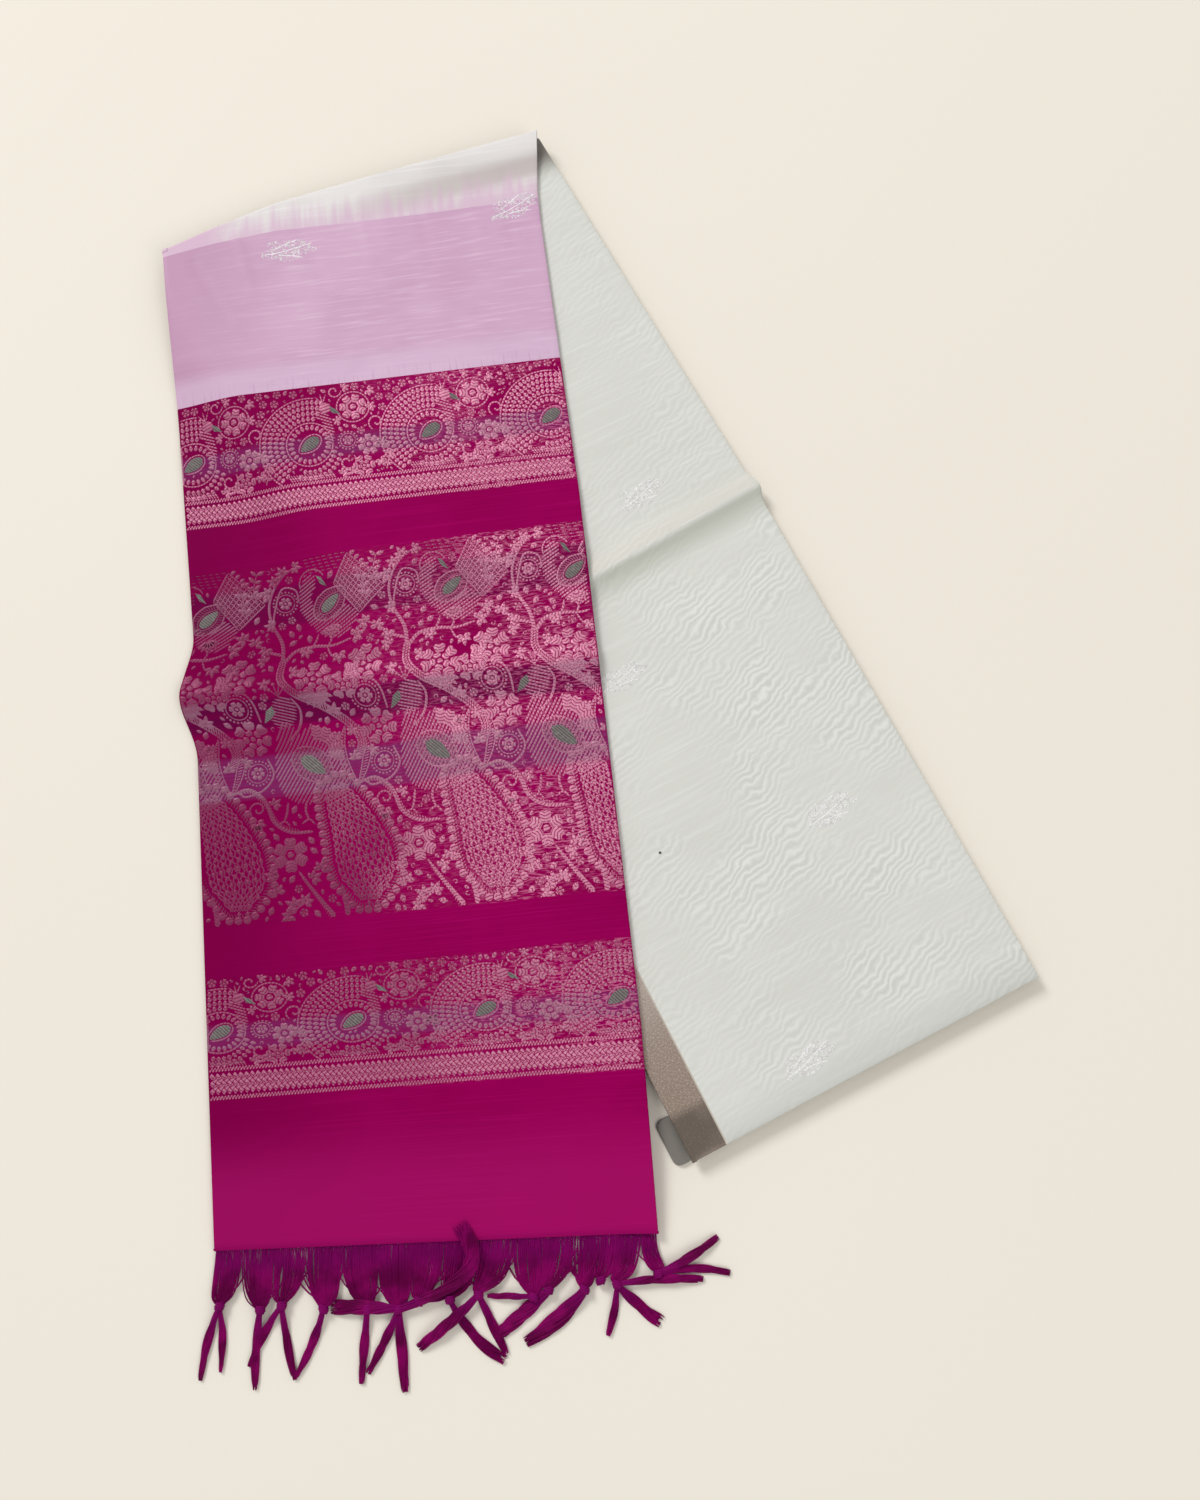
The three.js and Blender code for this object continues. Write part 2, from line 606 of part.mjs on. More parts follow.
function solidOf(vertices, triangles) {
  const mesh = new wasm.Mesh({
    numProp: 3,
    vertProperties: new Float32Array(vertices),
    triVerts: new Uint32Array(triangles),
  });
  return new wasm.Manifold(mesh);
}

function knotSolid(at) {
  const corners = [[1, 0, 0], [-1, 0, 0], [0, 1, 0], [0, -1, 0], [0, 0, 1], [0, 0, -1]];
  const vertices = corners.flatMap(([x, y, z]) => [
    at.x + 1.25 * FRINGE.knotRadius * x, at.y + FRINGE.knotRadius * y, at.z + FRINGE.knotRadius * z,
  ]);
  const triangles = [0, 2, 4, 2, 1, 4, 1, 3, 4, 3, 0, 4, 2, 0, 5, 1, 2, 5, 3, 1, 5, 0, 3, 5];
  return solidOf(vertices, triangles);
}

const clothEnd = PALLU_ROWS.clothEnd;

function endPoint(u, past) {
  return palluPoint(u, { left: clothEnd.left + past, right: clothEnd.right + past });
}

function knotPlace(bunch) {
  const root = endPoint(bunch.at, SEAM_GAP);
  return new THREE.Vector3(root.x + bunch.knotX, root.y + bunch.knotY, FRINGE.knotLevel);
}

function fanSolid(bunch) {
  const root = endPoint(bunch.at, FRINGE_STRIP.width / 2);
  const from = new THREE.Vector3(root.x, root.y, (FRINGE_STRIP.low + FRINGE_STRIP.high) / 2);
  const to = knotPlace(bunch);
  const steps = 4;
  const stations = spread(0, 1, steps).map((t) => {
    const at = from.clone().lerp(to, t);
    at.x = mix(from.x, to.x, smooth(0, 1, t));
    at.z = mix(from.z, to.z, smooth(0.2, 1, t));
    const waist = 1 - smooth(0.25, 1, t);
    const width = mix(FRINGE.fanEnd, bunch.spread, waist);
    return { at, width, thick: mix(FRINGE.tailThick + 0.6, FRINGE.fanThick, waist) };
  });
  return lockSolid(stations);
}

function tailSolid(tail) {
  const bunch = BUNCHES[tail.bunch];
  const at = knotPlace(bunch);
  const thick = FRINGE.tailThick;
  const floorLevel = FRINGE.floorGap + thick / 2;
  const steps = 6;
  const stations = [];
  let heading = tail.heading;
  spread(0, 1, steps).forEach((t, k) => {
    const arch = tail.lift * Math.sin(Math.PI * t);
    const level = mix(FRINGE.knotLevel, floorLevel, smooth(0, 0.45, t)) + arch;
    const taper = mix(0.62, 1, smooth(0, 0.5, t)) * mix(1, tail.tip, smooth(0.6, 1, t));
    stations.push({ at: new THREE.Vector3(at.x, at.y, level), width: tail.width * taper, thick });
    if (k < steps) {
      const turn = radians(heading);
      at.x += (tail.length / steps) * Math.cos(turn);
      at.y += (tail.length / steps) * Math.sin(turn);
      heading += tail.curl / steps;
    }
  });
  return lockSolid(stations);
}

function stripSolid(fromU, toU) {
  const corners = [
    endPoint(fromU, SEAM_GAP), endPoint(toU, SEAM_GAP),
    endPoint(toU, FRINGE_STRIP.width), endPoint(fromU, FRINGE_STRIP.width),
  ];
  const vertices = [FRINGE_STRIP.low, FRINGE_STRIP.high].flatMap((z) =>
    corners.flatMap((corner) => [corner.x, corner.y, z]));
  const triangles = [0, 1, 2, 0, 2, 3, 4, 6, 5, 4, 7, 6];
  for (let i = 0; i < 4; i += 1) {
    const j = (i + 1) % 4;
    triangles.push(i, i + 4, j + 4, i, j + 4, j);
  }
  return solidOf(vertices, triangles);
}

function geometryOf(solid) {
  const mesh = solid.getMesh();
  const geometry = new THREE.BufferGeometry();
  geometry.setAttribute('position', new THREE.BufferAttribute(mesh.vertProperties, 3));
  geometry.setIndex(new THREE.BufferAttribute(mesh.triVerts, 1));
  geometry.computeVertexNormals();
  return geometry;
}

function addFringe() {
  const strands = BUNCHES.flatMap((bunch) => [fanSolid(bunch), knotSolid(knotPlace(bunch))]);
  const solid = [...strands, ...TAILS.map(tailSolid)].reduce((all, one) => all.add(one), stripSolid(0, 1));
  addPiece('pallu_fringe', geometryOf(solid), FINISH.fringe);
}

// ---- the saree -----------------------------------------------------------------------------------
addBodyLayers();
addBody();
addFlap();
addPalluLayers();
addCream();
PALLU_STRETCHES.forEach(addPalluStretch);
addFringe();

// The origin is under the middle of the whole thing.
const size = new THREE.Box3().setFromObject(saree);
const middle = size.getCenter(new THREE.Vector3());
saree.position.set(-middle.x, -middle.y, -size.min.z);

export default saree;
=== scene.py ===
"""Looks of a folded silk-cotton saree, built around its solids.

The tables are in millimetres on the table top, seen from above, with +Y towards the top fold.
"""

import math

import bpy
import numpy as np
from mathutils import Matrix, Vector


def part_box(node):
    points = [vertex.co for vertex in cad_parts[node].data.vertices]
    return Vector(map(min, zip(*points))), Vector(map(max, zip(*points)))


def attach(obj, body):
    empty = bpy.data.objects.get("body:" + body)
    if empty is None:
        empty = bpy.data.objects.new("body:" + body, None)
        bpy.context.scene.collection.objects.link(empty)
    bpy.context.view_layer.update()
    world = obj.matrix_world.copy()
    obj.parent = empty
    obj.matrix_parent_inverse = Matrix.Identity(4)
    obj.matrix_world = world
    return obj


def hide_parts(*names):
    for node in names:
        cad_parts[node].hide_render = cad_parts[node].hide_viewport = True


MM = 0.001

# ---- sizes ----
STRIP_WIDTH = 288.0  # cloth 1150 mm wide, folded lengthways in quarters
BODY_WIDTH = 262.0
ZARI_WIDTH = 26.0
BODY_MIDDLE = 9.95  # middle of the body's top layer
PALLU_MIDDLE = 2.6  # middle of the pallu's top layer, above what it rests on
REST_ON_BODY = 11.05
BODY_HEADING = -62
BODY_SPAN = 270  # what the hidden layers' right inset is measured on
BODY_LAYER = 1.2
PALLU_LAYER = 0.6
BODY_WALL = 1.3
PALLU_WALL = 1.2
CLOTH = 0.5  # one folded thickness of the cloth
GRID = 3.0  # spacing of a cloth's grid
SILK_SHINE = 0.01

FOLD_LEFT = (-331.5, 384.4)
FOLD_RIGHT = (-48.8, 486.8)
BOW_ACROSS = (0.0, 0.14, 0.31, 0.55, 1.0)
BOW_OUT = (0.0, 5.4, 9.8, 7.0, 0.0)
BOW_REACH = 70.0

# edges as straight runs: (up to this distance, heading in degrees)
PALLU_LEFT_EDGE = ((308, -82.4), (900, -84.3))
PALLU_RIGHT_EDGE = ((52, -89.0), (78, -84.0), (300, -82.2), (680, -83.6), (900, -85.5))
BODY_LEFT_EDGE = ((403.6, -56.4), (900, -62.6))
BODY_RIGHT_EDGE = ((334.4, -61.05), (900, -62.7))

# distance from the top fold along the left and the right edge
PALLU_ROWS = {
    "fold": (0, 0),
    "cream_end": (7, 58),
    "lilac_end": (127.6, 193.1),
    "band_upper_end": (224.4, 290.0),
    "plain_upper_end": (258.4, 322.9),
    "band_wide_end": (513.8, 590.7),
    "plain_lower_end": (547.5, 621.8),
    "band_lower_end": (627.6, 708.4),
    "cloth_end": (721.1, 812.5),
}
BODY_ROWS = {"fold": (0, 0), "crease": (390.6, 334.4), "bottom": (769.6, 730.3)}

# the crease that the pallu leg takes over the body's edge: place at left and right, height, spread
# above and below it
PALLU_RIDGE = (350, 424, 3.4, 15.0, 27.0)
PALLU_SHOULDER = (350, 46, 10.5)  # where its left edge stands out: place, half length, reach
BODY_RIDGE = (2.6, 17.0, 9.0)  # the body's own crease: height, spread above and below it
BODY_TIP = (15, 3.5, 28)  # its right end stands out: half length, reach, heading
LOOP_RISE = (3.4, 34)  # the top fold's loose loop at the right: height, reach down the leg
STEP_DOWN = (-66, -8)  # the pallu leg comes down beside the body over this distance
SWELL = (-12, 120, 40, 3.2)  # a soft swell on the body: place, spread, height

# soft creases: across, along, across, along, height, width
PALLU_CREASES = (
    (0.02, 96, 0.30, 118, 0.5, 7),
    (0.22, 62, 0.62, 96, 0.45, 6),
    (0.48, 150, 0.98, 132, -0.5, 8),
    (0.12, 176, 0.44, 168, 0.35, 6),
    (0.60, 226, 0.97, 240, 0.5, 9),
    (0.05, 262, 0.35, 276, -0.55, 10),
    (0.40, 322, 0.86, 334, 0.5, 9),
    (0.08, 412, 0.42, 430, -0.6, 11),
    (0.55, 470, 0.93, 456, 0.55, 12),
    (0.15, 520, 0.52, 536, 0.5, 10),
    (0.66, 560, 0.97, 578, -0.5, 8),
    (0.04, 604, 0.33, 612, 0.45, 9),
    (0.36, 664, 0.78, 652, 0.5, 11),
    (0.10, 716, 0.46, 704, -0.4, 9),
    (0.58, 730, 0.95, 744, 0.45, 8),
)
BODY_CREASES = (
    (0.50, 96, 0.95, 78, 0.5, 8),
    (0.58, 160, 0.93, 176, -0.5, 10),
    (0.46, 232, 0.80, 214, 0.5, 9),
    (0.70, 278, 0.98, 262, -0.45, 8),
    (0.40, 318, 0.92, 290, -0.5, 10),
    (0.42, 412, 0.96, 384, -0.6, 11),
    (0.30, 486, 0.74, 452, 0.5, 10),
    (0.52, 530, 0.95, 510, 0.45, 9),
    (0.16, 560, 0.52, 586, -0.45, 9),
    (0.44, 636, 0.90, 622, 0.5, 10),
    (0.12, 690, 0.50, 676, 0.4, 8),
    (0.56, 716, 0.96, 700, -0.45, 7),
)
FOLD_WRINKLES = (
    (0.08, 22, 0.16, 78, -0.5, 3.5),
    (0.20, 14, 0.23, 60, 0.45, 3.0),
    (0.36, 20, 0.42, 74, -0.4, 3.5),
    (0.52, 16, 0.55, 66, 0.5, 3.0),
    (0.68, 24, 0.70, 84, -0.45, 3.5),
    (0.80, 18, 0.84, 70, 0.4, 3.0),
    (0.91, 30, 0.92, 92, -0.35, 3.0),
)


# ---- the folded strip's shape ----
def smooth(low, high, x):
    t = np.clip((x - low) / (high - low), 0.0, 1.0)
    return t * t * (3 - 2 * t)


def mix(a, b, t):
    return a + (b - a) * t


def hump(x, run):
    return np.where(np.abs(x) < run, (1 + np.cos(np.pi * x / run)) / 2, 0.0)


def around(at, radius, turn):
    """The point at a distance from another, at a heading in radians."""
    return at[0] + radius * math.cos(turn), at[1] + radius * math.sin(turn)


def rows_between(table, start, end):
    """Gives the distances along both edges, at a share of the way from one row to another."""
    first, last = table[start], table[end]
    return lambda t: (mix(first[0], last[0], t), mix(first[1], last[1], t))


def row_gap(table, start, end):
    """Distance between two rows, at the middle."""
    return float((np.array(table[end], float) - np.array(table[start], float)).mean())


def edge_place(start, runs, along):
    """Place at a distance along an edge made of straight runs."""
    along = np.asarray(along, float)
    x = np.full(along.shape, float(start[0]))
    y = np.full(along.shape, float(start[1]))
    done = 0.0
    for up_to, heading in runs:
        step = np.minimum(along, up_to) - done
        if done > 0:
            step = np.maximum(step, 0.0)
        x, y = around((x, y), step, math.radians(heading))
        done = up_to
    return x, y


def fold_out():
    dx = FOLD_RIGHT[0] - FOLD_LEFT[0]
    dy = FOLD_RIGHT[1] - FOLD_LEFT[1]
    size = math.hypot(dx, dy)
    return -dy / size, dx / size


def bowed(x, y, u, along):
    out = np.interp(u, BOW_ACROSS, BOW_OUT) * (1 - smooth(0, BOW_REACH, along))
    way = fold_out()
    return x + way[0] * out, y + way[1] * out


def pallu_place(u, left, right):
    lx, ly = edge_place(FOLD_LEFT, PALLU_LEFT_EDGE, left)
    middle, run, reach = PALLU_SHOULDER
    lx = lx - reach * hump(left - middle, run)
    rx, ry = edge_place(FOLD_RIGHT, PALLU_RIGHT_EDGE, right)
    return bowed(mix(lx, rx, u), mix(ly, ry, u), u, mix(left, right, u))


def body_place(u, left, right):
    lx, ly = edge_place(FOLD_LEFT, BODY_LEFT_EDGE, left)
    rx, ry = edge_place(FOLD_RIGHT, BODY_RIGHT_EDGE, right)
    run, reach, heading = BODY_TIP
    tip = reach * hump(right - BODY_ROWS["crease"][1], run)
    rx, ry = around((rx, ry), tip, math.radians(heading))
    return bowed(mix(lx, rx, u), mix(ly, ry, u), u, mix(left, right, u))


def over_body(x, y):
    """How far a place lies in from the body leg's left edge."""
    corner_x, corner_y = edge_place(FOLD_LEFT, BODY_LEFT_EDGE, BODY_LEFT_EDGE[0][0])
    reach = []
    for _, heading in BODY_LEFT_EDGE:
        turn = math.radians(heading)
        reach.append(-math.sin(turn) * (x - corner_x) + math.cos(turn) * (y - corner_y))
    return np.maximum(*reach)


def rest_height(x, y):
    """Height of what the pallu leg rests on."""
    at_x, at_y, run, rise = SWELL
    away = np.hypot(x - at_x, y - at_y) / run
    return smooth(*STEP_DOWN, over_body(x, y)) * (REST_ON_BODY + rise * np.exp(-away * away))


def soft_creases(table, width, u, along):
    """Low ridges and troughs, each along its own line."""
    height = np.zeros(np.broadcast(u, along).shape)
    for u1, a1, u2, a2, rise, spread in table:
        px, py = u * width, along
        ax, ay, bx, by = u1 * width, a1, u2 * width, a2
        run = (bx - ax) ** 2 + (by - ay) ** 2
        t = np.clip(((px - ax) * (bx - ax) + (py - ay) * (by - ay)) / run, 0, 1)
        gap = np.hypot(px - mix(ax, bx, t), py - mix(ay, by, t)) / spread
        height = height + rise * (1 - 0.5 * t) * np.exp(-gap * gap)
    return height


def loop_rise(u, along):
    height, reach = LOOP_RISE
    return height * smooth(0.2, 1, u) * (1 - smooth(0, reach, along))


def pallu_top(u, left, right):
    x, y = pallu_place(u, left, right)
    along = mix(left, right, u)
    ridge_left, ridge_right, height, above, below = PALLU_RIDGE
    away = along - mix(ridge_left, ridge_right, u)
    ridge = height * hump(away, np.where(away < 0, above, below))
    z = rest_height(x, y) + PALLU_MIDDLE + ridge + loop_rise(u, along) + PALLU_WALL / 2
    for table in (PALLU_CREASES, FOLD_WRINKLES):
        z = z + soft_creases(table, STRIP_WIDTH, u, along)
    return x, y, z


def body_top(u, left, right):
    x, y = body_place(u, left, right)
    along = mix(left, right, u)
    height, above, below = BODY_RIDGE
    away = along - mix(*BODY_ROWS["crease"], u)
    ridge = height * hump(away, np.where(away < 0, above, below)) * smooth(0.36, 0.46, u)
    z = BODY_MIDDLE + ridge + BODY_WALL / 2
    return x, y, z + soft_creases(BODY_CREASES, BODY_WIDTH, u, along)


def down_body(x, y):
    """Distance along the body leg, square to its edges."""
    turn = math.radians(BODY_HEADING)
    return (x - FOLD_LEFT[0]) * math.cos(turn) + (y - FOLD_LEFT[1]) * math.sin(turn)


def frame_shift():
    """From the tables' origin to the frame's, in millimetres."""
    corner_x = body_place(1.0, *BODY_ROWS["bottom"])[0]
    corner_y = body_place(0.0, *BODY_ROWS["bottom"])[1]
    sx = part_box("body_lower_stretch")[1][0] / MM - corner_x
    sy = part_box("zari_border_lower")[0][1] / MM - corner_y
    return float(sx), float(sy)


# ---- mesh helpers ----
def deselect():
    if bpy.context.object and bpy.context.object.mode != "OBJECT":
        bpy.ops.object.mode_set(mode="OBJECT")
    bpy.ops.object.select_all(action="DESELECT")


def only(piece):
    deselect()
    piece.select_set(True)
    bpy.context.view_layer.objects.active = piece


def apply_modifier(piece, kind, **settings):
    only(piece)
    modifier = piece.modifiers.new(kind.title(), kind)
    for key, value in settings.items():
        setattr(modifier, key, value)
    bpy.ops.object.modifier_apply(modifier=modifier.name)


def to_frame(x, y, z):
    """Table millimetres to the frame's metres."""
    x, y, z = np.broadcast_arrays(x, y, z)
    return np.stack([x + SHIFT[0], y + SHIFT[1], z], axis=-1) * MM


def edit_all(operation, **settings):
    """One mesh operation on the whole of the active piece."""
    bpy.ops.object.mode_set(mode="EDIT")
    bpy.ops.mesh.select_all(action="SELECT")
    operation(**settings)
    bpy.ops.object.mode_set(mode="OBJECT")


def corner_points(mesh):
    """The point that each face corner uses."""
    loops = np.empty(len(mesh.loops), dtype=np.int32)
    mesh.loops.foreach_get("vertex_index", loops)
    return loops


def set_uvs(layer, values, loops):
    layer.data.foreach_set("uv", values[loops].astype(np.float32).ravel())


def mesh_piece(name, places, faces, maps):
    """A piece from its points and faces. maps: each UV map's name and its values at the points."""
    mesh = bpy.data.meshes.new(name)
    mesh.from_pydata(places.tolist(), [], faces)
    loops = corner_points(mesh)
    for label, values in maps:
        set_uvs(mesh.uv_layers.new(name=label), values, loops)
    piece = bpy.data.objects.new(name, mesh)
    bpy.context.collection.objects.link(piece)
    return piece


def cloth_grid(name, columns, rows, surface):
    """A flat grid whose points are laid on surface(i, j), with a cloth UV in metres."""
    deselect()
    bpy.ops.mesh.primitive_grid_add(x_subdivisions=columns - 1, y_subdivisions=rows - 1, size=1)
    piece = bpy.context.object
    piece.name = piece.data.name = name
    i, j = np.meshgrid(np.arange(columns), np.arange(rows))
    places, across, along = surface(i.ravel(), j.ravel())
    piece.data.vertices.foreach_set("co", np.ascontiguousarray(places, dtype=np.float32).ravel())
    piece.data.uv_layers[0].name = "cloth"
    set_uvs(piece.data.uv_layers[0], np.stack([across, along], -1) * MM, corner_points(piece.data))
    piece.data.update()
    edit_all(bpy.ops.mesh.flip_normals)
    return piece


def finish_cloth(piece, material):
    apply_modifier(piece, "SOLIDIFY", thickness=CLOTH * MM, offset=-1, use_even_offset=False)
    finish(piece, material)


def finish(piece, material, angle=40):
    only(piece)
    bpy.ops.object.shade_smooth_by_angle(angle=math.radians(angle))
    piece.data.materials.clear()
    piece.data.materials.append(material)
    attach(piece, "root")


def roll(radius, tuck):
    """A folded edge's profile from under the cloth to its top: rows of inset and drop."""
    steps, end = 4, -80
    rows = [(tuck, radius * (1 - math.sin(math.radians(end))))]
    for k in range(steps + 1):
        turn = math.radians(mix(end, 90, k / steps))
        rows.append((radius * (1 - math.cos(turn)), radius * (1 - math.sin(turn))))
    return rows


def edge_steps(length, first, last):
    """Distances over a cloth's width or length, with rolled edges where they are given."""
    places = [(inset, drop) for inset, drop in (first or [])]
    low = places[-1][0] if first else 0.0
    high = length - (last[-1][0] if last else 0.0)
    count = max(1, round((high - low) / GRID))
    middle = [(x, 0.0) for x in np.linspace(low, high, count + 1)]
    if first:
        middle = middle[1:]
    tail = [(length - inset, drop) for inset, drop in reversed(last or [])]
    if last:
        middle = middle[:-1]
    return np.array(places + middle + tail)


# ---- pallu leg ----
PALLU_EDGE = roll(1.2, 4.0)
BODY_EDGE = roll(1.9, 5.0)
ZARI_EDGE = roll(1.0, 3.5)
END_EDGE = roll(0.5, 1.5)


def pallu_stretch(name, start, end, material, end_open=False):
    edges_at = rows_between(PALLU_ROWS, start, end)
    length = row_gap(PALLU_ROWS, start, end)
    columns = edge_steps(STRIP_WIDTH, PALLU_EDGE, PALLU_EDGE)
    rows = edge_steps(length, None, END_EDGE if end_open else None)

    def surface(i, j):
        u = columns[i, 0] / STRIP_WIDTH
        left, right = edges_at(rows[j, 0] / length)
        x, y, z = pallu_top(u, left, right)
        z = z - np.maximum(columns[i, 1], rows[j, 1])
        return to_frame(x, y, z), u * STRIP_WIDTH, left

    piece = cloth_grid(f"{name}_cloth", len(columns), len(rows), surface)
    finish_cloth(piece, material)
    width = STRIP_WIDTH + 2 * (PALLU_EDGE[0][0] + 1)
    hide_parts(name)
    return piece, (width * MM, (length + (2.5 if end_open else 0)) * MM)


def cream_stretch(material):
    """The top fold's loop, and the cloth from it down to where the lilac begins."""
    loop_steps, run_steps = 14, 18
    columns = edge_steps(STRIP_WIDTH, PALLU_EDGE, PALLU_EDGE)
    rows = loop_steps + run_steps + 1
    end_left, end_right = PALLU_ROWS["cream_end"]

    def surface(i, j):
        u = columns[i, 0] / STRIP_WIDTH
        edge_x, edge_y = pallu_place(u, 0.0, 0.0)
        top = rest_height(edge_x, edge_y) + PALLU_MIDDLE + loop_rise(u, 0.0)
        radius = (top - BODY_MIDDLE) / 2
        inner = radius + PALLU_WALL / 2
        length = mix(end_left, end_right, u)
        start = inner / length
        near_x, near_y = pallu_place(u, start * end_left, start * end_right)
        out_x, out_y = edge_x - near_x, edge_y - near_y
        size = np.hypot(out_x, out_y)
        out_x, out_y = out_x / size, out_y / size
        turn = np.radians(mix(-90.0, 90.0, np.minimum(j, loop_steps) / loop_steps))
        reach = inner * (np.cos(turn) - 1)
        loop = (edge_x + out_x * reach, edge_y + out_y * reach,
                BODY_MIDDLE + radius + inner * np.sin(turn))
        run = np.maximum(j - loop_steps, 0) / run_steps
        share = mix(start, 1.0, run)
        x, y, z = pallu_top(u, share * end_left, share * end_right)
        z = mix(top + PALLU_WALL / 2, z, smooth(0, 0.4, run))
        drop = columns[i, 1] * smooth(0.0, 0.8, run)
        on_loop = j <= loop_steps
        places = to_frame(
            np.where(on_loop, loop[0], x), np.where(on_loop, loop[1], y),
            np.where(on_loop, loop[2], z - drop))
        along = np.where(on_loop, inner * (turn - math.pi / 2), share * length)
        along = along - (end_right - end_left) * u
        return places, u * STRIP_WIDTH, along

    piece = cloth_grid("cream_cloth", len(columns), rows, surface)
    finish_cloth(piece, material)
    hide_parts("cream_stretch")
    return piece


# ---- body leg ----
def body_stretch(name, start, end, material, zari, skip=0.0, end_open=False):
    edges_at = rows_between(BODY_ROWS, start, end)
    length = row_gap(BODY_ROWS, start, end)
    wide = ZARI_WIDTH if zari else BODY_WIDTH - ZARI_WIDTH
    columns = edge_steps(wide, ZARI_EDGE if zari else None, None if zari else BODY_EDGE)
    rows = edge_steps(length, None, BODY_EDGE if end_open else None)

    def surface(i, j):
        left, right = edges_at(mix(skip / length, 1.0, rows[j, 0] / length))
        lx, ly = body_place(0.0, left, right)
        rx, ry = body_place(1.0, left, right)
        line = ZARI_WIDTH / np.hypot(rx - lx, ry - ly)
        share = columns[i, 0] / wide
        u = line * share if zari else mix(line, 1.0, share)
        x, y, z = body_top(u, left, right)
        z = z - np.maximum(columns[i, 1], rows[j, 1])
        return to_frame(x, y, z), u * BODY_WIDTH, down_body(x, y)

    piece = cloth_grid(f"{name}_cloth", len(columns), len(rows), surface)
    finish_cloth(piece, material)
    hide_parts(name)
    return piece, (wide * MM, (length - skip) * MM)


# ---- hidden layers ----
# each hidden layer of the body: level, inset at left, right, start, end, wave
BODY_SLABS = (
    (0.05, 2.6, 1.9, 8, 2.2, 0.5),
    (1.35, 1.2, 2.9, 6, 3.4, 0.7),
    (2.65, 2.9, 1.5, 9, 1.9, 0.6),
    (3.95, 1.6, 2.6, 7, 3.0, 0.8),
    (5.25, 2.4, 1.8, 8, 2.3, 0.5),
    (6.55, 1.5, 3.2, 7, 3.6, 0.6),
    (7.75, 2.2, 4.4, 9, 4.6, 0.5),
)
PALLU_SLABS = (
    (0.05, 2.0, 1.4, 0.5),
    (0.72, 1.1, 2.1, 0.6),
    (1.38, 1.8, 1.2, 0.4),
)


def join(pieces, name):
    deselect()
    for piece in pieces:
        piece.select_set(True)
    bpy.context.view_layer.objects.active = pieces[0]
    if len(pieces) > 1:
        bpy.ops.object.join()
    pieces[0].name = pieces[0].data.name = name
    return pieces[0]


def body_layers(material):
    pieces = []
    for k, (level, left_in, right_in, start_in, end_in, wave) in enumerate(BODY_SLABS):
        columns, rows = 14, 60
        end_left, end_right = BODY_ROWS["bottom"]

        def surface(i, j):
            t = j / (rows - 1)
            bend = wave * (np.sin(9 * t + 2.1 * k) + 0.6 * np.sin(23 * t + k))
            u = mix((left_in + bend) / STRIP_WIDTH, 1 - (right_in - bend) / BODY_SPAN, i / (columns - 1))
            left = mix(start_in, end_left - end_in, t)
            right = mix(start_in, end_right - end_in - 0.8 * wave * np.sin(7 * u + k), t)
            x, y = body_place(u, left, right)
            return to_frame(x, y, level + BODY_LAYER), u * BODY_WIDTH, mix(left, right, u)

        piece = cloth_grid(f"body_layer_{k}", columns, rows, surface)
        apply_modifier(piece, "SOLIDIFY", thickness=BODY_LAYER * MM, offset=-1)
        apply_modifier(piece, "BEVEL", width=0.45 * MM, segments=2, limit_method="ANGLE")
        pieces.append(piece)
    layers = join(pieces, "body_layers")
    finish(layers, material)
    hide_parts("body_under_layers")


def pallu_layers(material):
    pieces = []
    for k, (level, left_in, right_in, wave) in enumerate(PALLU_SLABS):
        columns, rows = 40, 150

        def surface(i, j):
            t = j / (rows - 1)
            bend = wave * (np.sin(8 * t + 1.7 * k) + 0.5 * np.sin(27 * t + 2 * k))
            u = mix((left_in + bend) / STRIP_WIDTH, 1 - (right_in - bend) / STRIP_WIDTH, i / (columns - 1))
            left = mix(6.0, 719.6 - 0.7 * k, t)
            right = mix(16.0, 811.0 - 0.7 * k, t)
            x, y = pallu_place(u, left, right)
            z = rest_height(x, y) + level + PALLU_LAYER
            return to_frame(x, y, z), u * STRIP_WIDTH, mix(left, right, u)

        piece = cloth_grid(f"pallu_layer_{k}", columns, rows, surface)
        apply_modifier(piece, "SOLIDIFY", thickness=0.58 * MM, offset=-1)
        pieces.append(piece)
    layers = join(pieces, "pallu_layers")
    finish(layers, material)
    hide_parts("pallu_under_layers")


def under_flap(material):
    """The corner of an under layer that shows beside the border: two rounded slabs."""
    turn = math.radians(BODY_LEFT_EDGE[1][1])
    cx, cy = body_place(0.0, *BODY_ROWS["bottom"])
    rx, ry = body_place(1.0, *BODY_ROWS["bottom"])
    size = math.hypot(rx - cx, ry - cy)
    slant = ((rx - cx) / size, (ry - cy) / size)
    pieces = []
    for level, out, along in ((0.1, 11.0, 33.0), (1.35, 10.2, 32.0)):
        deselect()
        bpy.ops.mesh.primitive_plane_add(size=1)
        piece = bpy.context.object
        places = []
        for vertex in piece.data.vertices:
            side = out if vertex.co.x < 0 else -3.0
            back = along if vertex.co.y > 0 else 0.8
            x = cx - slant[0] * side - math.cos(turn) * back
            y = cy - slant[1] * side - math.sin(turn) * back
            places.append(to_frame(x, y, level + BODY_LAYER))
        piece.data.vertices.foreach_set("co", np.array(places, dtype=np.float32).ravel())
        edit_all(bpy.ops.mesh.bevel, offset=5 * MM, segments=6, affect="VERTICES")
        apply_modifier(piece, "SOLIDIFY", thickness=1.15 * MM, offset=-1)
        apply_modifier(piece, "BEVEL", width=0.35 * MM, segments=2, limit_method="ANGLE")
        pieces.append(piece)
    flap = join(pieces, "under_flap_cloth")
    finish(flap, material)
    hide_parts("under_flap")


# ---- woven figures ----
THREAD_STEP = 1.7  # spacing of the points along a thread


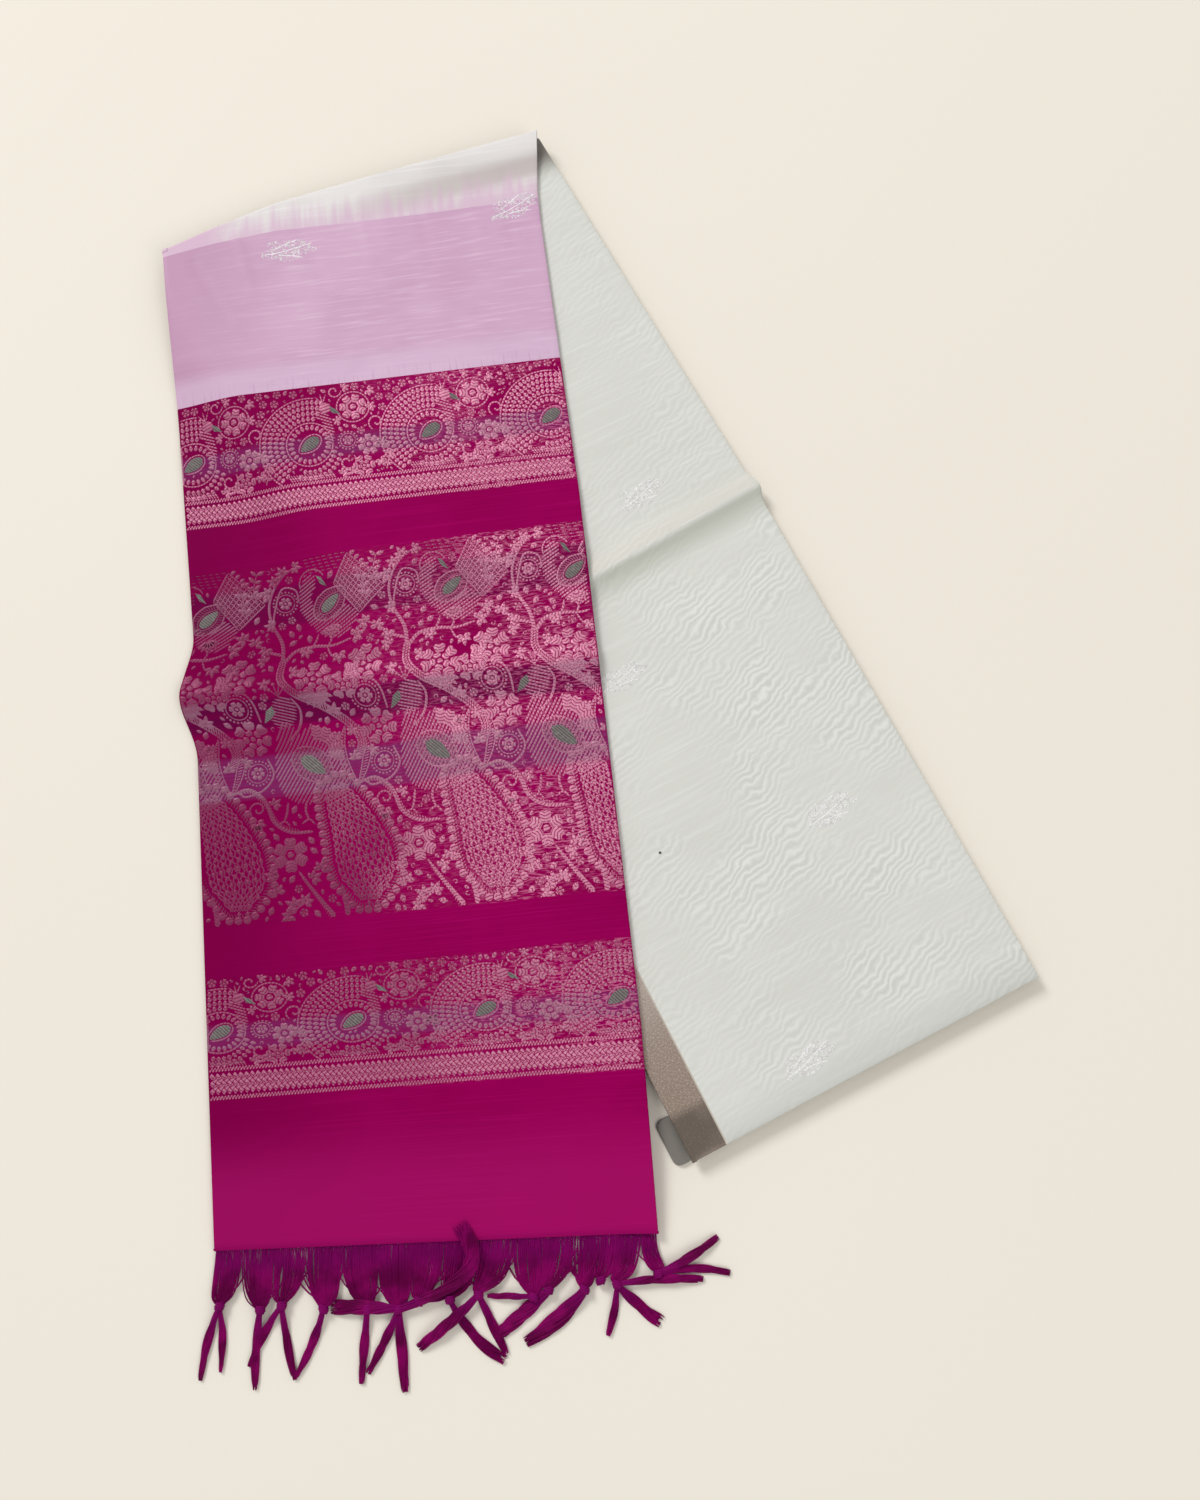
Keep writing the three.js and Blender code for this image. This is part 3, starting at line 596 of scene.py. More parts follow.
def flowing(points, step=THREAD_STEP):
    """A smooth path through a few given points."""
    points = np.asarray(points, float)
    if len(points) == 2:
        count = max(2, int(np.hypot(*(points[1] - points[0])) / step) + 1)
        return np.linspace(points[0], points[1], count)
    ends = np.vstack([2 * points[0] - points[1], points, 2 * points[-1] - points[-2]])
    path = []
    for k in range(1, len(ends) - 2):
        a, b, c, d = ends[k - 1:k + 3]
        count = max(2, int(np.hypot(*(c - b)) / step))
        for t in np.linspace(0, 1, count, endpoint=False):
            path.append(0.5 * (2 * b + (c - a) * t + (2 * a - 5 * b + 4 * c - d) * t**2
                               + (3 * b - a - 3 * c + d) * t**3))
    path.append(points[-1])
    return np.array(path)


def arc(at, radius, start, end):
    """Part of a circle, or of a spiral where radius is (first, last). Degrees, with y down."""
    first, last = radius if hasattr(radius, "__len__") else (radius, radius)
    size = max(first, last) * abs(math.radians(end - start))
    turns = np.radians(np.linspace(start, end, max(4, int(size / THREAD_STEP) + 1)))
    reach = np.linspace(first, last, len(turns))
    return np.stack([at[0] + reach * np.cos(turns), at[1] + reach * np.sin(turns)], axis=-1)


class Weft:
    """Extra weft on a cloth, drawn in flat millimetres: across, and down from a top line."""

    CELLS = 2  # cells per millimetre of the record of what is covered

    def __init__(self, width, height, margin=1.0):
        self.width, self.height, self.margin = width, height, margin
        self.origin, self.scale = np.zeros(2), np.ones(2)
        self.yarns = {}
        self.yarn = "zari"
        self.tone = 1.0  # how bright the next threads are
        self.taken = np.zeros((int(height * self.CELLS) + 1, int(width * self.CELLS) + 1), bool)

    def move(self, x, y, sx=1.0, sy=1.0):
        self.origin, self.scale = np.array([x, y], float), np.array([sx, sy], float)

    def laid(self, points):
        points = self.origin + np.asarray(points, float) * self.scale
        inside = (points[:, 0] > self.margin) & (points[:, 0] < self.width - self.margin)
        inside &= (points[:, 1] > -2.0) & (points[:, 1] < self.height + 2.0)
        points[:, 0] = np.clip(points[:, 0], self.margin, self.width - self.margin)
        points[:, 1] = np.clip(points[:, 1], 0.4, self.height - 0.4)
        return points, inside

    def window(self, x, y, radius):
        c = self.CELLS
        rows = slice(max(0, int((y - radius) * c)), max(0, int((y + radius) * c) + 1))
        cols = slice(max(0, int((x - radius) * c)), max(0, int((x + radius) * c) + 1))
        part = self.taken[rows, cols]
        yy, xx = np.ogrid[rows.start:rows.start + part.shape[0], cols.start:cols.start + part.shape[1]]
        return part, (xx / c - x) ** 2 + (yy / c - y) ** 2 <= radius * radius

    def mark(self, points, radius):
        for x, y in points:
            part, disc = self.window(x, y, radius)
            part |= disc

    def cover(self, outline, by=0.6):
        """Record all of an outline's inside as covered."""
        outline = grown(self.origin + np.asarray(outline, float) * self.scale, by)
        c = self.CELLS
        low = np.maximum(outline.min(axis=0) * c, 0).astype(int)
        high = np.maximum(outline.max(axis=0) * c + 1, 0).astype(int)
        part = self.taken[low[1]:high[1], low[0]:high[0]]
        if part.size:
            y, x = np.mgrid[low[1]:low[1] + part.shape[0], low[0]:low[0] + part.shape[1]]
            part |= inside_of(outline, x.ravel() / c, y.ravel() / c).reshape(part.shape)

    def free(self, x, y, radius):
        if not (self.margin + radius < x < self.width - self.margin - radius):
            return False
        if not (radius < y < self.height - radius):
            return False
        part, disc = self.window(x, y, radius)
        return not (part & disc).any()

    def add(self, points, heights, stitches, faces):
        store = self.yarns.setdefault(self.yarn, {"places": [], "faces": [], "count": 0})
        base = store["count"]
        store["places"].append(np.column_stack(
            [points, heights, stitches, np.full(len(points), self.tone)]))
        store["faces"].extend(tuple(base + k for k in face) for face in faces)
        store["count"] += len(points)

    def thread(self, path, width, rise=0.2, blunt=0.35, keep=True):
        """A ribbon with a raised middle. width is one value or (first, middle, last)."""
        path, inside = self.laid(path)
        if inside.sum() < 2:
            return
        path = path[np.flatnonzero(inside)[0]:np.flatnonzero(inside)[-1] + 1]
        n = len(path)
        if n < 2:
            return
        side = ways(path)[1]
        widths = width if hasattr(width, "__len__") else (width, width, width)
        half = np.interp(np.linspace(0, 1, n), (0, 0.5, 1), widths) / 2
        if keep:
            self.mark(path, float(half.max()) + 0.35)
        half[0] *= blunt
        half[-1] *= blunt
        run = np.concatenate([[0], np.cumsum(np.hypot(*np.diff(path, axis=0).T))])
        points = np.stack([path + side * half[:, None], path, path - side * half[:, None]], 1)
        heights = np.tile([-0.06, rise, -0.06], n)
        stitches = np.stack([run + half * 0.6, run, run - half * 0.6], 1)
        faces = []
        for k in range(n - 1):
            a, b = 3 * k, 3 * k + 3
            faces += [(a, b, b + 1, a + 1), (a + 1, b + 1, b + 2, a + 2), (a + 2, b + 2, b, a)]
        end = 3 * n - 3
        faces += [(0, 1, 2), (end, end + 2, end + 1)]
        self.add(points.reshape(-1, 2), heights, stitches.ravel(), faces)

    def stem(self, points, width, rise=0.2):
        self.thread(flowing(points), width, rise)

    def patch(self, outline, rise=0.2, rings=(0.7,), keep=True, lay=30, chevron=0.0):
        """A filled shape with a soft edge; its stitches lie across the lay, in degrees."""
        outline, inside = self.laid(outline)
        if inside.sum() < 3:
            return
        n = len(outline)
        centre = outline.mean(axis=0)
        loops = [outline] + [centre + (outline - centre) * ring for ring in rings]
        points = np.vstack(loops + [centre[None], centre[None]])
        turn = math.radians(lay)
        away = points - centre
        stitches = away[:, 0] * math.cos(turn) + away[:, 1] * math.sin(turn)
        stitches = stitches - chevron * np.abs(away[:, 1] * math.cos(turn) - away[:, 0] * math.sin(turn))
        heights = [-0.06] * n + [rise] * (n * len(rings)) + [rise, -0.06]
        faces = []
        for r in range(len(rings)):
            for i in range(n):
                j = (i + 1) % n
                faces.append((r * n + i, r * n + j, (r + 1) * n + j, (r + 1) * n + i))
        top, low = n * len(loops), n * len(loops) + 1
        for i in range(n):
            j = (i + 1) % n
            faces.append((n * len(rings) + i, n * len(rings) + j, top))
            faces.append((j, i, low))
        if keep:
            reach = np.hypot(*(outline - centre).T)
            self.mark([centre], float(reach.min()) + 0.4)
            self.mark(outline, 0.7)
            self.mark(centre + (outline - centre) * 0.55, float(reach.min()) * 0.5 + 0.3)
        self.add(points, heights, stitches, faces)

    def leaf(self, at, heading, length, width, keep=True):
        along, side = heading_ways(heading)
        sides = ((0.0, 0.0), (0.25, 0.42), (0.55, 0.5), (0.82, 0.26), (1.0, 0.0))
        right = [np.array(at) + along * length * t + side * width * w for t, w in sides]
        left = [np.array(at) + along * length * t - side * width * w for t, w in sides[3:0:-1]]
        self.patch(right + left, keep=keep, lay=heading, chevron=0.8)

    def dot(self, at, radius, sides, keep=True):
        turns = np.linspace(0, 2 * math.pi, sides, endpoint=False)
        ring = np.stack([at[0] + radius * np.cos(turns), at[1] + radius * np.sin(turns)], -1)
        self.patch(ring, keep=keep, lay=75)

    def petal(self, at, heading, inner, outer, width):
        """A broad petal with a small notch in its end."""
        along, side = heading_ways(heading)
        size = outer - inner
        sides = ((0.0, 0.28), (0.35, 0.46), (0.8, 0.5), (1.0, 0.28))
        right = [np.array(at) + along * (inner + size * t) + side * width * w for t, w in sides]
        left = [np.array(at) + along * (inner + size * t) - side * width * w for t, w in sides[::-1]]
        notch = [np.array(at) + along * (inner + size * 0.93)]
        self.patch(right + notch + left, lay=heading, chevron=0.5)

    def flower(self, at, radius, petals, turn=0.0, heart=0.24):
        """Broad petals that nearly touch, round a heart."""
        wide = 2 * math.pi * radius * 0.7 / petals * 0.94
        for k in range(petals):
            self.petal(at, turn + 360 * k / petals, radius * heart * 1.3, radius, wide)
        self.dot(at, radius * heart, 8)

    def blossom(self, at, radius, petals, turn=0.0):
        """A large flower: an outer ring of petals and a smaller flower on it."""
        self.tone = 0.75
        wide = 2 * math.pi * radius * 0.74 / petals * 0.97
        for k in range(petals):
            self.petal(at, turn + 360 * k / petals, radius * 0.5, radius, wide)
        self.tone = 1.0
        self.flower(at, radius * 0.52, max(5, petals - 2), turn + 20, 0.3)

    def sprig(self, path, leaves, size):
        """A stem with a leaf at its end and leaves by turns on both sides."""
        path = flowing(path)
        self.thread(path, (1.2, 1.2, 0.84))
        for k in range(leaves):
            t = (k + 0.8) / leaves
            spot = path[min(int(t * (len(path) - 1)), len(path) - 2)]
            way = path[min(int(t * (len(path) - 1)) + 1, len(path) - 1)] - spot
            heading = math.degrees(math.atan2(way[1], way[0]))
            side = 1 if k % 2 else -1
            self.leaf(spot + way * 0.1, heading + side * 52, size, size * 0.5)
            self.leaf(spot, heading - side * 58, size * 0.85, size * 0.44)

    def cluster(self, at, heading, size):
        """A spray of leaves out of one point, like a maple leaf."""
        for k, share in enumerate((0.7, 0.86, 1.0, 0.86, 0.7)):
            self.leaf(at, heading + (k - 2) * 46, size * share, size * 0.42)

    def clusters(self, places):
        for x, y, heading, size in places:
            self.cluster((x, y), heading, size)

    def curl(self, at, radius, start, turns, width):
        self.thread(arc(at, (radius, radius * 0.18), start, start + 360 * turns),
                    (width * 0.8, width, width))

    def ringed(self, at, radius):
        """A small flower in a ring of dots."""
        self.flower(at, radius * 0.56, 6, 10)
        self.thread(arc(at, radius * 0.78, 0, 360), 0.9)
        count = int(2 * math.pi * radius / 2.5)
        for k in range(count):
            turn = 2 * math.pi * k / count
            self.dot(around(at, radius, turn), 0.95, 5)

    def hatched(self, path, wide, gap, width, slant):
        """A band of short cross threads along a path. wide is (first, middle, last)."""
        path = spread(flowing(path), gap)
        way, side = ways(path)
        half = np.interp(np.linspace(0, 1, len(path)), (0, 0.5, 1), wide) / 2
        across = side + way * slant
        for spot, s, h in zip(path, across, half):
            self.thread(np.linspace(spot - s * h, spot + s * h, 4), width)

    def barbs(self, ring, reach, width, last=None):
        """Short slanting threads across a ring."""
        way, side = ways(ring)
        for spot, s in list(zip(ring, side + way * 0.5))[:last]:
            self.thread(np.linspace(spot - s * reach, spot + s * reach, 3), width, 0.3)

    def hatch(self, outline, heading, gap, width):
        """Parallel threads that fill an outline."""
        shape = np.asarray(outline, float)
        along, side = heading_ways(heading)
        lying = shape @ np.stack([along, side], 1)
        low, high = lying.min(axis=0), lying.max(axis=0)
        run = np.arange(low[0], high[0], 1.5)
        for offset in np.arange(low[1] + gap / 2, high[1], gap):
            points = run[:, None] * along + offset * side
            keep = np.flatnonzero(inside_of(shape, points[:, 0], points[:, 1]))
            for part in np.split(keep, np.flatnonzero(np.diff(keep) > 1) + 1):
                if len(part) > 1:
                    self.thread(points[part], width, keep=False)
        self.cover(shape)

    def fanned(self, spine, wide, count, width, sway, period):
        """Threads side by side down a spine, closer where it is narrow. Returns its outline."""
        spine = spread(flowing(spine), 1.6)
        side = ways(spine)[1]
        half = np.interp(np.linspace(0, 1, len(spine)), np.linspace(0, 1, len(wide)), wide) / 2
        run = np.arange(len(spine)) * 1.6
        for k in range(count):
            share = -1 + 2 * (k + 0.5) / count
            lift = share * half + sway * np.sin(2 * math.pi * run / period + math.pi * k)
            self.thread(spine + side * lift[:, None], width, keep=False)
        outline = np.vstack([spine + side * half[:, None], (spine - side * half[:, None])[::-1]])
        self.cover(outline, 1.0)
        return outline

    def lattice(self, corners, gap, width):
        """Crossed threads over a four-sided shape, with a dot in each opening."""
        a, b, c, d = (np.array(corner, float) for corner in corners)
        across = max(2, round(float(np.hypot(*(b - a))) / gap))
        down = max(2, round(float(np.hypot(*(d - a))) / gap))
        for k in range(across + 1):
            t = k / across
            self.thread(np.linspace(mix(a, b, t), mix(d, c, t), 14), width, keep=False)
        for k in range(down + 1):
            t = k / down
            self.thread(np.linspace(mix(a, d, t), mix(b, c, t), 14), width, keep=False)
        for i in range(across):
            for j in range(down):
                s, t = (i + 0.5) / across, (j + 0.5) / down
                self.dot(mix(mix(a, b, s), mix(d, c, s), t), gap * 0.2, 4, keep=False)
        self.cover([a, b, c, d])

    def rows_of_leaves(self, at, radii, first, last, size, width):
        """Rings of small leaves around a point, like feathers."""
        for k, radius in enumerate(radii):
            sweep = math.radians(last - first)
            count = max(3, int(radius * sweep / width))
            for t in range(count):
                turn = math.radians(first) + sweep * (t + 0.5 * (k % 2)) / count
                self.leaf(around(at, radius, turn), math.degrees(turn), size, width)

    def fill(self, rng, tries, kinds):
        """Small leaves, dots and commas wherever there is room. kinds: radius, shape."""
        for radius, shape, share in kinds:
            for _ in range(int(tries * share)):
                x = rng.uniform(0, self.width)
                y = rng.uniform(0, self.height)
                if not self.free(x, y, radius):
                    continue
                heading = rng.choice((-60, -35, -120, -150, 40, 75, 120, 150)) + rng.uniform(-12, 12)
                foot = around((x, y), -radius * 0.95, math.radians(heading))
                self.tone = rng.uniform(0.6, 1.0)
                if shape == "leaf":
                    self.leaf(foot, heading, radius * 2.1, radius * 1.25)
                elif shape == "comma":
                    self.thread(arc((x, y), (radius * 0.8, radius * 0.3), heading, heading + 300), 1.0)
                elif shape == "bud":
                    self.flower((x, y), radius * 1.05, 5, heading, 0.3)
                else:
                    self.dot((x, y), radius * 0.85, 5)
        self.tone = 1.0


def heading_ways(heading):
    """Unit steps along a heading in degrees, and to its side."""
    turn = math.radians(heading)
    along = np.array([math.cos(turn), math.sin(turn)])
    return along, np.array([-along[1], along[0]])


def ways(path):
    """Unit steps along a path, and the unit steps to its side."""
    way = np.gradient(path, axis=0)
    way = way / np.maximum(np.hypot(way[:, 0], way[:, 1]), 1e-6)[:, None]
    return way, np.stack([-way[:, 1], way[:, 0]], axis=-1)


def inside_of(outline, x, y):
    """True for each place that lies inside an outline."""
    x, y = np.asarray(x, float)[:, None], np.asarray(y, float)[:, None]
    ahead = np.roll(outline, -1, axis=0)
    crosses = (outline[:, 1] > y) != (ahead[:, 1] > y)
    rise = ahead[:, 1] - outline[:, 1]
    slope = np.where(np.abs(rise) < 1e-9, 1e-9, rise)
    at = outline[:, 0] + (y - outline[:, 1]) * (ahead[:, 0] - outline[:, 0]) / slope
    return (crosses & (x < at)).sum(axis=1) % 2 == 1


def teardrop(at, length, width, heading):
    """Outline of a drop whose point lies at the heading."""
    along, side = heading_ways(heading)
    points = []
    for k in range(18):
        t = 2 * math.pi * k / 18
        reach = math.cos(t)
        wide = math.sin(t) * (1 - 0.48 * (1 + reach) / 2 * (1 + reach) / 2)
        points.append(np.array(at) + along * length * 0.5 * reach + side * width * 0.5 * wide)
    return np.array(points)


def grown(outline, by):
    centre = outline.mean(axis=0)
    reach = outline - centre
    size = np.maximum(np.hypot(reach[:, 0], reach[:, 1]), 1e-6)[:, None]
    return outline + reach / size * by


def spread(path, step):
    """The same path with points at even steps."""
    run = np.concatenate([[0], np.cumsum(np.hypot(*np.diff(path, axis=0).T))])
    count = max(2, int(round(run[-1] / step)) + 1)
    even = np.linspace(0, run[-1], count)
    return np.stack([np.interp(even, run, path[:, 0]), np.interp(even, run, path[:, 1])], axis=-1)


def closed(outline, step=2.0):
    return spread(np.vstack([outline, outline[:1]]), step)


def closed_side(outline):
    """The outward side at each point of a closed outline."""
    way = np.roll(outline, -1, axis=0) - np.roll(outline, 1, axis=0)
    way = way / np.maximum(np.hypot(way[:, 0], way[:, 1]), 1e-6)[:, None]
    side = np.stack([-way[:, 1], way[:, 0]], axis=-1)
    away = outline - outline.mean(axis=0)
    return side * np.sign((side * away).sum() or 1.0)


def winged(weft, at, length, width, heading):
    """A wing: a grey-green drop in a hatched ring."""
    drop = teardrop(at, length, width, heading)
    weft.yarn = "meena"
    weft.patch(drop, 0.3, (0.8, 0.45))
    weft.yarn, weft.tone = "zari", 1.0
    weft.thread(closed(grown(drop, 1.3)), 1.1, 0.34)
    weft.tone = 0.55
    ring = closed(grown(drop, 3.6), 1.9)
    weft.barbs(ring, 1.6, 1.1)
    weft.tone = 1.0
    weft.thread(closed(grown(drop, 6.0)), 1.3, 0.34)


def wide_peacock(weft):
    """A peacock on a branch, with its train hanging down."""
    body = [(64, 118), (57, 131), (54, 146), (55, 162), (62, 176), (76, 180), (92, 178), (104, 173),
            (107, 160), (104, 147), (99, 137), (92, 126), (83, 122), (74, 128), (70, 120)]
    weft.yarn, weft.tone = "zari", 0.9
    weft.hatch(flowing(body, 3.0), -58, 2.5, 1.55)
    winged(weft, (81, 152), 22, 12.5, 40)
    weft.tone = 0.9
    head = [(60, 106), (57, 116), (62, 124), (72, 122), (78, 112), (74, 103), (66, 101)]
    weft.hatch(flowing(head, 3.0), 20, 2.2, 1.3)
    weft.yarn = "meena"
    weft.patch([(52, 119), (56, 110), (61, 107), (62, 112), (58, 116)], 0.3)
    weft.yarn, weft.tone = "zari", 1.0
    weft.stem([(75, 103), (79, 112), (75, 124), (66, 133)], (1.4, 2.2, 1.6), 0.3)
    for turn, reach in ((-128, 9), (-104, 11.5), (-82, 11), (-60, 9)):
        tip = around((67, 103), reach, math.radians(turn))
        weft.thread(np.linspace((67, 101), tip, 4), 1.1)
        weft.dot(tip, 1.4, 6)
    for k in range(5):
        weft.petal((84, 143), -84 + 24 * k, 8, 20, 7.4)
    weft.tone = 0.7
    path = [(94, 168), (100, 182), (106, 197), (111, 214), (114, 232), (114, 250)]
    train = weft.fanned(path, (14, 25, 33, 40, 38, 12), 15, 1.35, 0.7, 5.6)
    weft.tone = 1.0
    spine = spread(flowing(path), 5.4)
    side = ways(spine)[1]
    half = np.interp(np.linspace(0, 1, len(spine)), np.linspace(0, 1, 6), (6, 11, 15, 18, 17, 5))
    for row, (spot, s, wide) in enumerate(zip(spine, side, half)):
        for x in np.arange(-wide + (2.7 if row % 2 else 0), wide, 5.4):
            weft.leaf(spot + s * x, 90 + 16 * x / wide, 4.0, 2.7, keep=False)
    weft.tone = 0.8
    out = closed_side(train)
    weft.barbs(closed(train + out * 3.4, 2.3), 2.0, 1.4, last=-1)
    for spot in closed(train + out * 6.3, 6.2)[:-1]:
        weft.dot(spot, 3.0, 9)
    weft.cover(train + out * 6.0)
    weft.tone = 1.0
    for x, foot in ((62, 59), (75, 76)):
        weft.stem([(x, 177), (x - 1, 184), (foot, 190)], 2.0)
        weft.stem([(foot - 5, 193), (foot, 190), (foot + 4, 194)], 1.5)


def wide_parrot(weft):
    """A parrot that looks back over its wing, on the tree's upper branch."""
    weft.yarn, weft.tone = "zari", 0.9
    body = flowing([(84, 12), (79, 21), (77, 32), (79, 43), (87, 53), (96, 60), (108, 62), (117, 55),
                    (122, 47), (112, 38), (101, 45), (92, 40), (88, 30), (92, 22), (93, 13)], 3.0)
    weft.hatch(body, -30, 2.3, 1.45)
    weft.tone = 0.85
    weft.lattice(((105, 23), (117, 2), (142, 30), (122, 47)), 2.9, 1.3)
    weft.tone = 1.0
    for k in range(8):
        t = (k + 0.5) / 8
        weft.leaf(mix(np.array([117, 2]), np.array([142, 30]), t), -38, 5.2, 3.2)
    weft.thread(np.linspace((105, 23), (117, 2), 14), 1.6, 0.3)
    winged(weft, (101, 36), 18, 9, -38)
    weft.yarn = "meena"
    weft.patch([(92, 14), (96, 16), (100, 24), (95, 21)], 0.3)
    weft.yarn, weft.tone = "zari", 1.0
    weft.thread(arc((89, 19), 9.5, -200, -20), 1.3)
    for r in range(5):
        for k in range(7):
            spot = (84 + 4.7 * k + 0.8 * r, 1.6 + 2.5 * r)
            if spot[0] < 113 - 1.6 * r:
                weft.thread(np.linspace(spot, (spot[0] + 3.0, spot[1]), 3), 1.1)
    for k in range(6):
        weft.leaf((100, 52), 20 + 24 * k, 9.5, 3.8)
    weft.stem([(91, 57), (90, 62), (88, 66)], 1.8)
    weft.stem([(100, 58), (101, 63), (99, 67)], 1.8)


def flowering_tree(weft):
    """The tree between the birds: a trunk that forks, with flowers, curls and sprigs."""
    weft.yarn, weft.tone = "zari", 0.8
    trunk = flowing([(113, 150), (116, 138), (109, 124), (95, 111), (78, 100), (69, 88), (69, 74)])
    side = ways(trunk)[1]
    wide = np.interp(np.linspace(0, 1, len(trunk)), (0, 1), (2.8, 2.0))[:, None]
    weft.hatched(trunk, (6, 4.6, 4), 1.9, 1.3, 0.8)
    weft.tone = 1.0
    weft.thread(trunk + side * wide, 1.3)
    weft.thread(trunk - side * wide, 1.3)
    branch = flowing([(69, 76), (66, 62), (58, 47), (56, 33), (60, 20), (68, 10), (77, 5)])
    weft.thread(branch, (3.6, 2.4, 1.5))
    weft.stem([(70, 76), (77, 68), (90, 66), (103, 67), (116, 64)], (3.4, 2.8, 1.6))
    weft.stem([(67, 70), (56, 66), (46, 58), (37, 54)], (2.8, 2.0, 1.4))
    weft.stem([(99, 68), (104, 75), (113, 74)], (1.6, 1.6, 1.1))
    weft.blossom((92, 91), 13.5, 7, 10)
    weft.blossom((38, 84), 14, 7, 20)
    weft.blossom((112, 97), 10.5, 6, 0)
    weft.ringed((37, 107), 9.6)
    weft.stem([(50, 118), (49, 105), (44, 97), (34, 95), (26, 101)], 1.7)
    weft.ringed((68, 31), 8.6)
    weft.stem([(58, 46), (60, 36), (66, 20), (76, 22), (78, 32)], 1.6)
    weft.clusters((
        (38, 55, 200, 8.5), (46, 60, -70, 8), (55, 64, 110, 7.6), (58, 47, 190, 7.4), (76, 5, 10, 7),
        (68, 9, -120, 8), (57, 22, 190, 8), (62, 14, -160, 7.4), (118, 63, -20, 9), (108, 74, 80, 8),
        (84, 68, 70, 7.6), (122, 78, 30, 8), (118, 88, -30, 7.4), (56, 74, -150, 7.4), (76, 84, -10, 7.6),
        (84, 104, -60, 7.4), (101, 116, -70, 8), (60, 92, 200, 7.6),
    ))
    for k in range(7):
        weft.leaf((93, 101), 20 + 23 * k, 12, 4.2)
    weft.sprig([(48, 28), (46, 18), (49, 5)], 4, 7.0)
    weft.sprig([(40, 40), (38, 26), (36, 14)], 4, 7.0)


def lower_plants(weft):
    """Stems, leaves and flowers around the peacocks' trains."""
    weft.yarn, weft.tone = "zari", 0.85
    left = [(22, 168), (15, 154), (13, 140), (17, 127)]
    right = [(24, 168), (29, 154), (31, 140), (27, 127)]
    for path in (flowing(left), flowing(right)):
        side = ways(path)[1]
        swell = (2.6 * np.sin(np.linspace(0.25, math.pi - 0.1, len(path))))[:, None]
        weft.thread(path + side * swell, 1.2)
        weft.thread(path - side * swell, 1.2)
        weft.hatched(path, (1.6, 3.4, 1.4), 2.0, 1.1, 0.6)
    weft.tone = 1.0
    weft.clusters(((12, 134, 190, 7), (9, 146, 200, 7), (33, 146, -20, 7), (22, 132, -90, 7),
                   (22, 150, -90, 7)))
    weft.ringed((42, 154), 8.8)
    weft.stem([(28, 166), (33, 170), (46, 166), (53, 156), (49, 144)], 1.8)
    weft.blossom((41, 129), 13, 7, 12)
    weft.stem([(23, 168), (35, 165), (46, 174), (52, 190), (63, 198), (78, 199)], (2.2, 3.6, 2.4))
    weft.hatched([(28, 167), (37, 167), (47, 178), (55, 192), (68, 198)], (3, 3.6, 3), 2.0, 1.2, 0.7)
    weft.curl((41, 180), 6.4, 120, 1.2, 1.6)
    weft.cluster((40, 190), 60, 8)
    weft.cluster((52, 178), -40, 7)
    weft.flower((62, 214), 12.5, 6, -90, 0.2)
    weft.stem([(67, 226), (76, 240), (90, 259)], (1.8, 2.8, 4.0))
    weft.hatched([(70, 231), (78, 243), (88, 258)], (2.4, 3.4, 4.6), 2.0, 1.2, 0.5)
    weft.clusters(((64, 250, -150, 9), (60, 256, 150, 8), (70, 248, -60, 8), (76, 232, -30, 8),
                   (82, 226, -70, 8), (50, 228, 200, 8), (52, 240, -110, 8.5)))
    weft.stem([(76, 246), (68, 249), (60, 255)], 1.7)
    weft.stem([(99, 259), (98, 250), (96, 238)], (5, 4, 2.4))


UNIT = 88.6  # width of one repeat of the figures


def wide_band():
    """Peacocks, parrots and trees in repeats, with small leaves between them."""
    weft = Weft(STRIP_WIDTH, 260.0)
    for n in range(-1, 4):
        for draw in (wide_peacock, wide_parrot, flowering_tree, lower_plants):
            weft.move(UNIT * n, 0)
            draw(weft)
    weft.move(0, 0)
    rng = np.random.default_rng(11)
    weft.yarn = "zari"
    weft.fill(rng, 2400, ((3.4, "leaf", 1.0), (2.8, "bud", 0.9), (2.4, "comma", 0.6), (2.0, "leaf", 1.6)))
    return weft


def round_peacock(weft):
    """A small peacock with its train fanned behind it; the wing's drop is at (0, 0)."""
    drop = teardrop((0, 0), 17, 10.5, 145)
    weft.yarn = "meena"
    weft.patch(drop, 0.3, (0.8, 0.4))
    weft.patch([(16, -29), (21, -26), (25, -21), (18, -23)], 0.3)
    weft.yarn, weft.tone = "zari", 1.0
    weft.thread(closed(grown(drop, 1.4)), 1.2)
    weft.rows_of_leaves((0, 0), (11.0,), 0, 360, 5.4, 2.9)
    weft.thread(arc((0, 0), 17.0, 0, 360), 1.3)
    weft.rows_of_leaves((0, 0), (18.0, 22.4, 26.8, 31.2), 128, 292, 4.9, 3.1)
    weft.thread(arc((0, 0), 36.8, 128, 280), 1.3)
    weft.tone = 0.85
    neck = [(12, 12), (18, 2), (20, -10), (16, -22), (10, -30), (4, -24), (10, -16), (12, -6)]
    weft.hatch(flowing(neck, 3.0), 25, 2.2, 1.4)
    weft.dot((13.5, -27.5), 4.6, 9)
    weft.tone = 1.0
    for turn in (-130, -100, -70):
        tip = around((12, -31), 8, math.radians(turn))
        weft.thread(np.linspace((12, -31), tip, 4), 1.1)
    weft.rows_of_leaves((0, 4), (15.6, 20.4), 12, 118, 4.8, 3.2)
    weft.hatched([(-16, 25.5), (15, 25.5)], (5, 5, 5), 2.0, 1.4, 0.6)


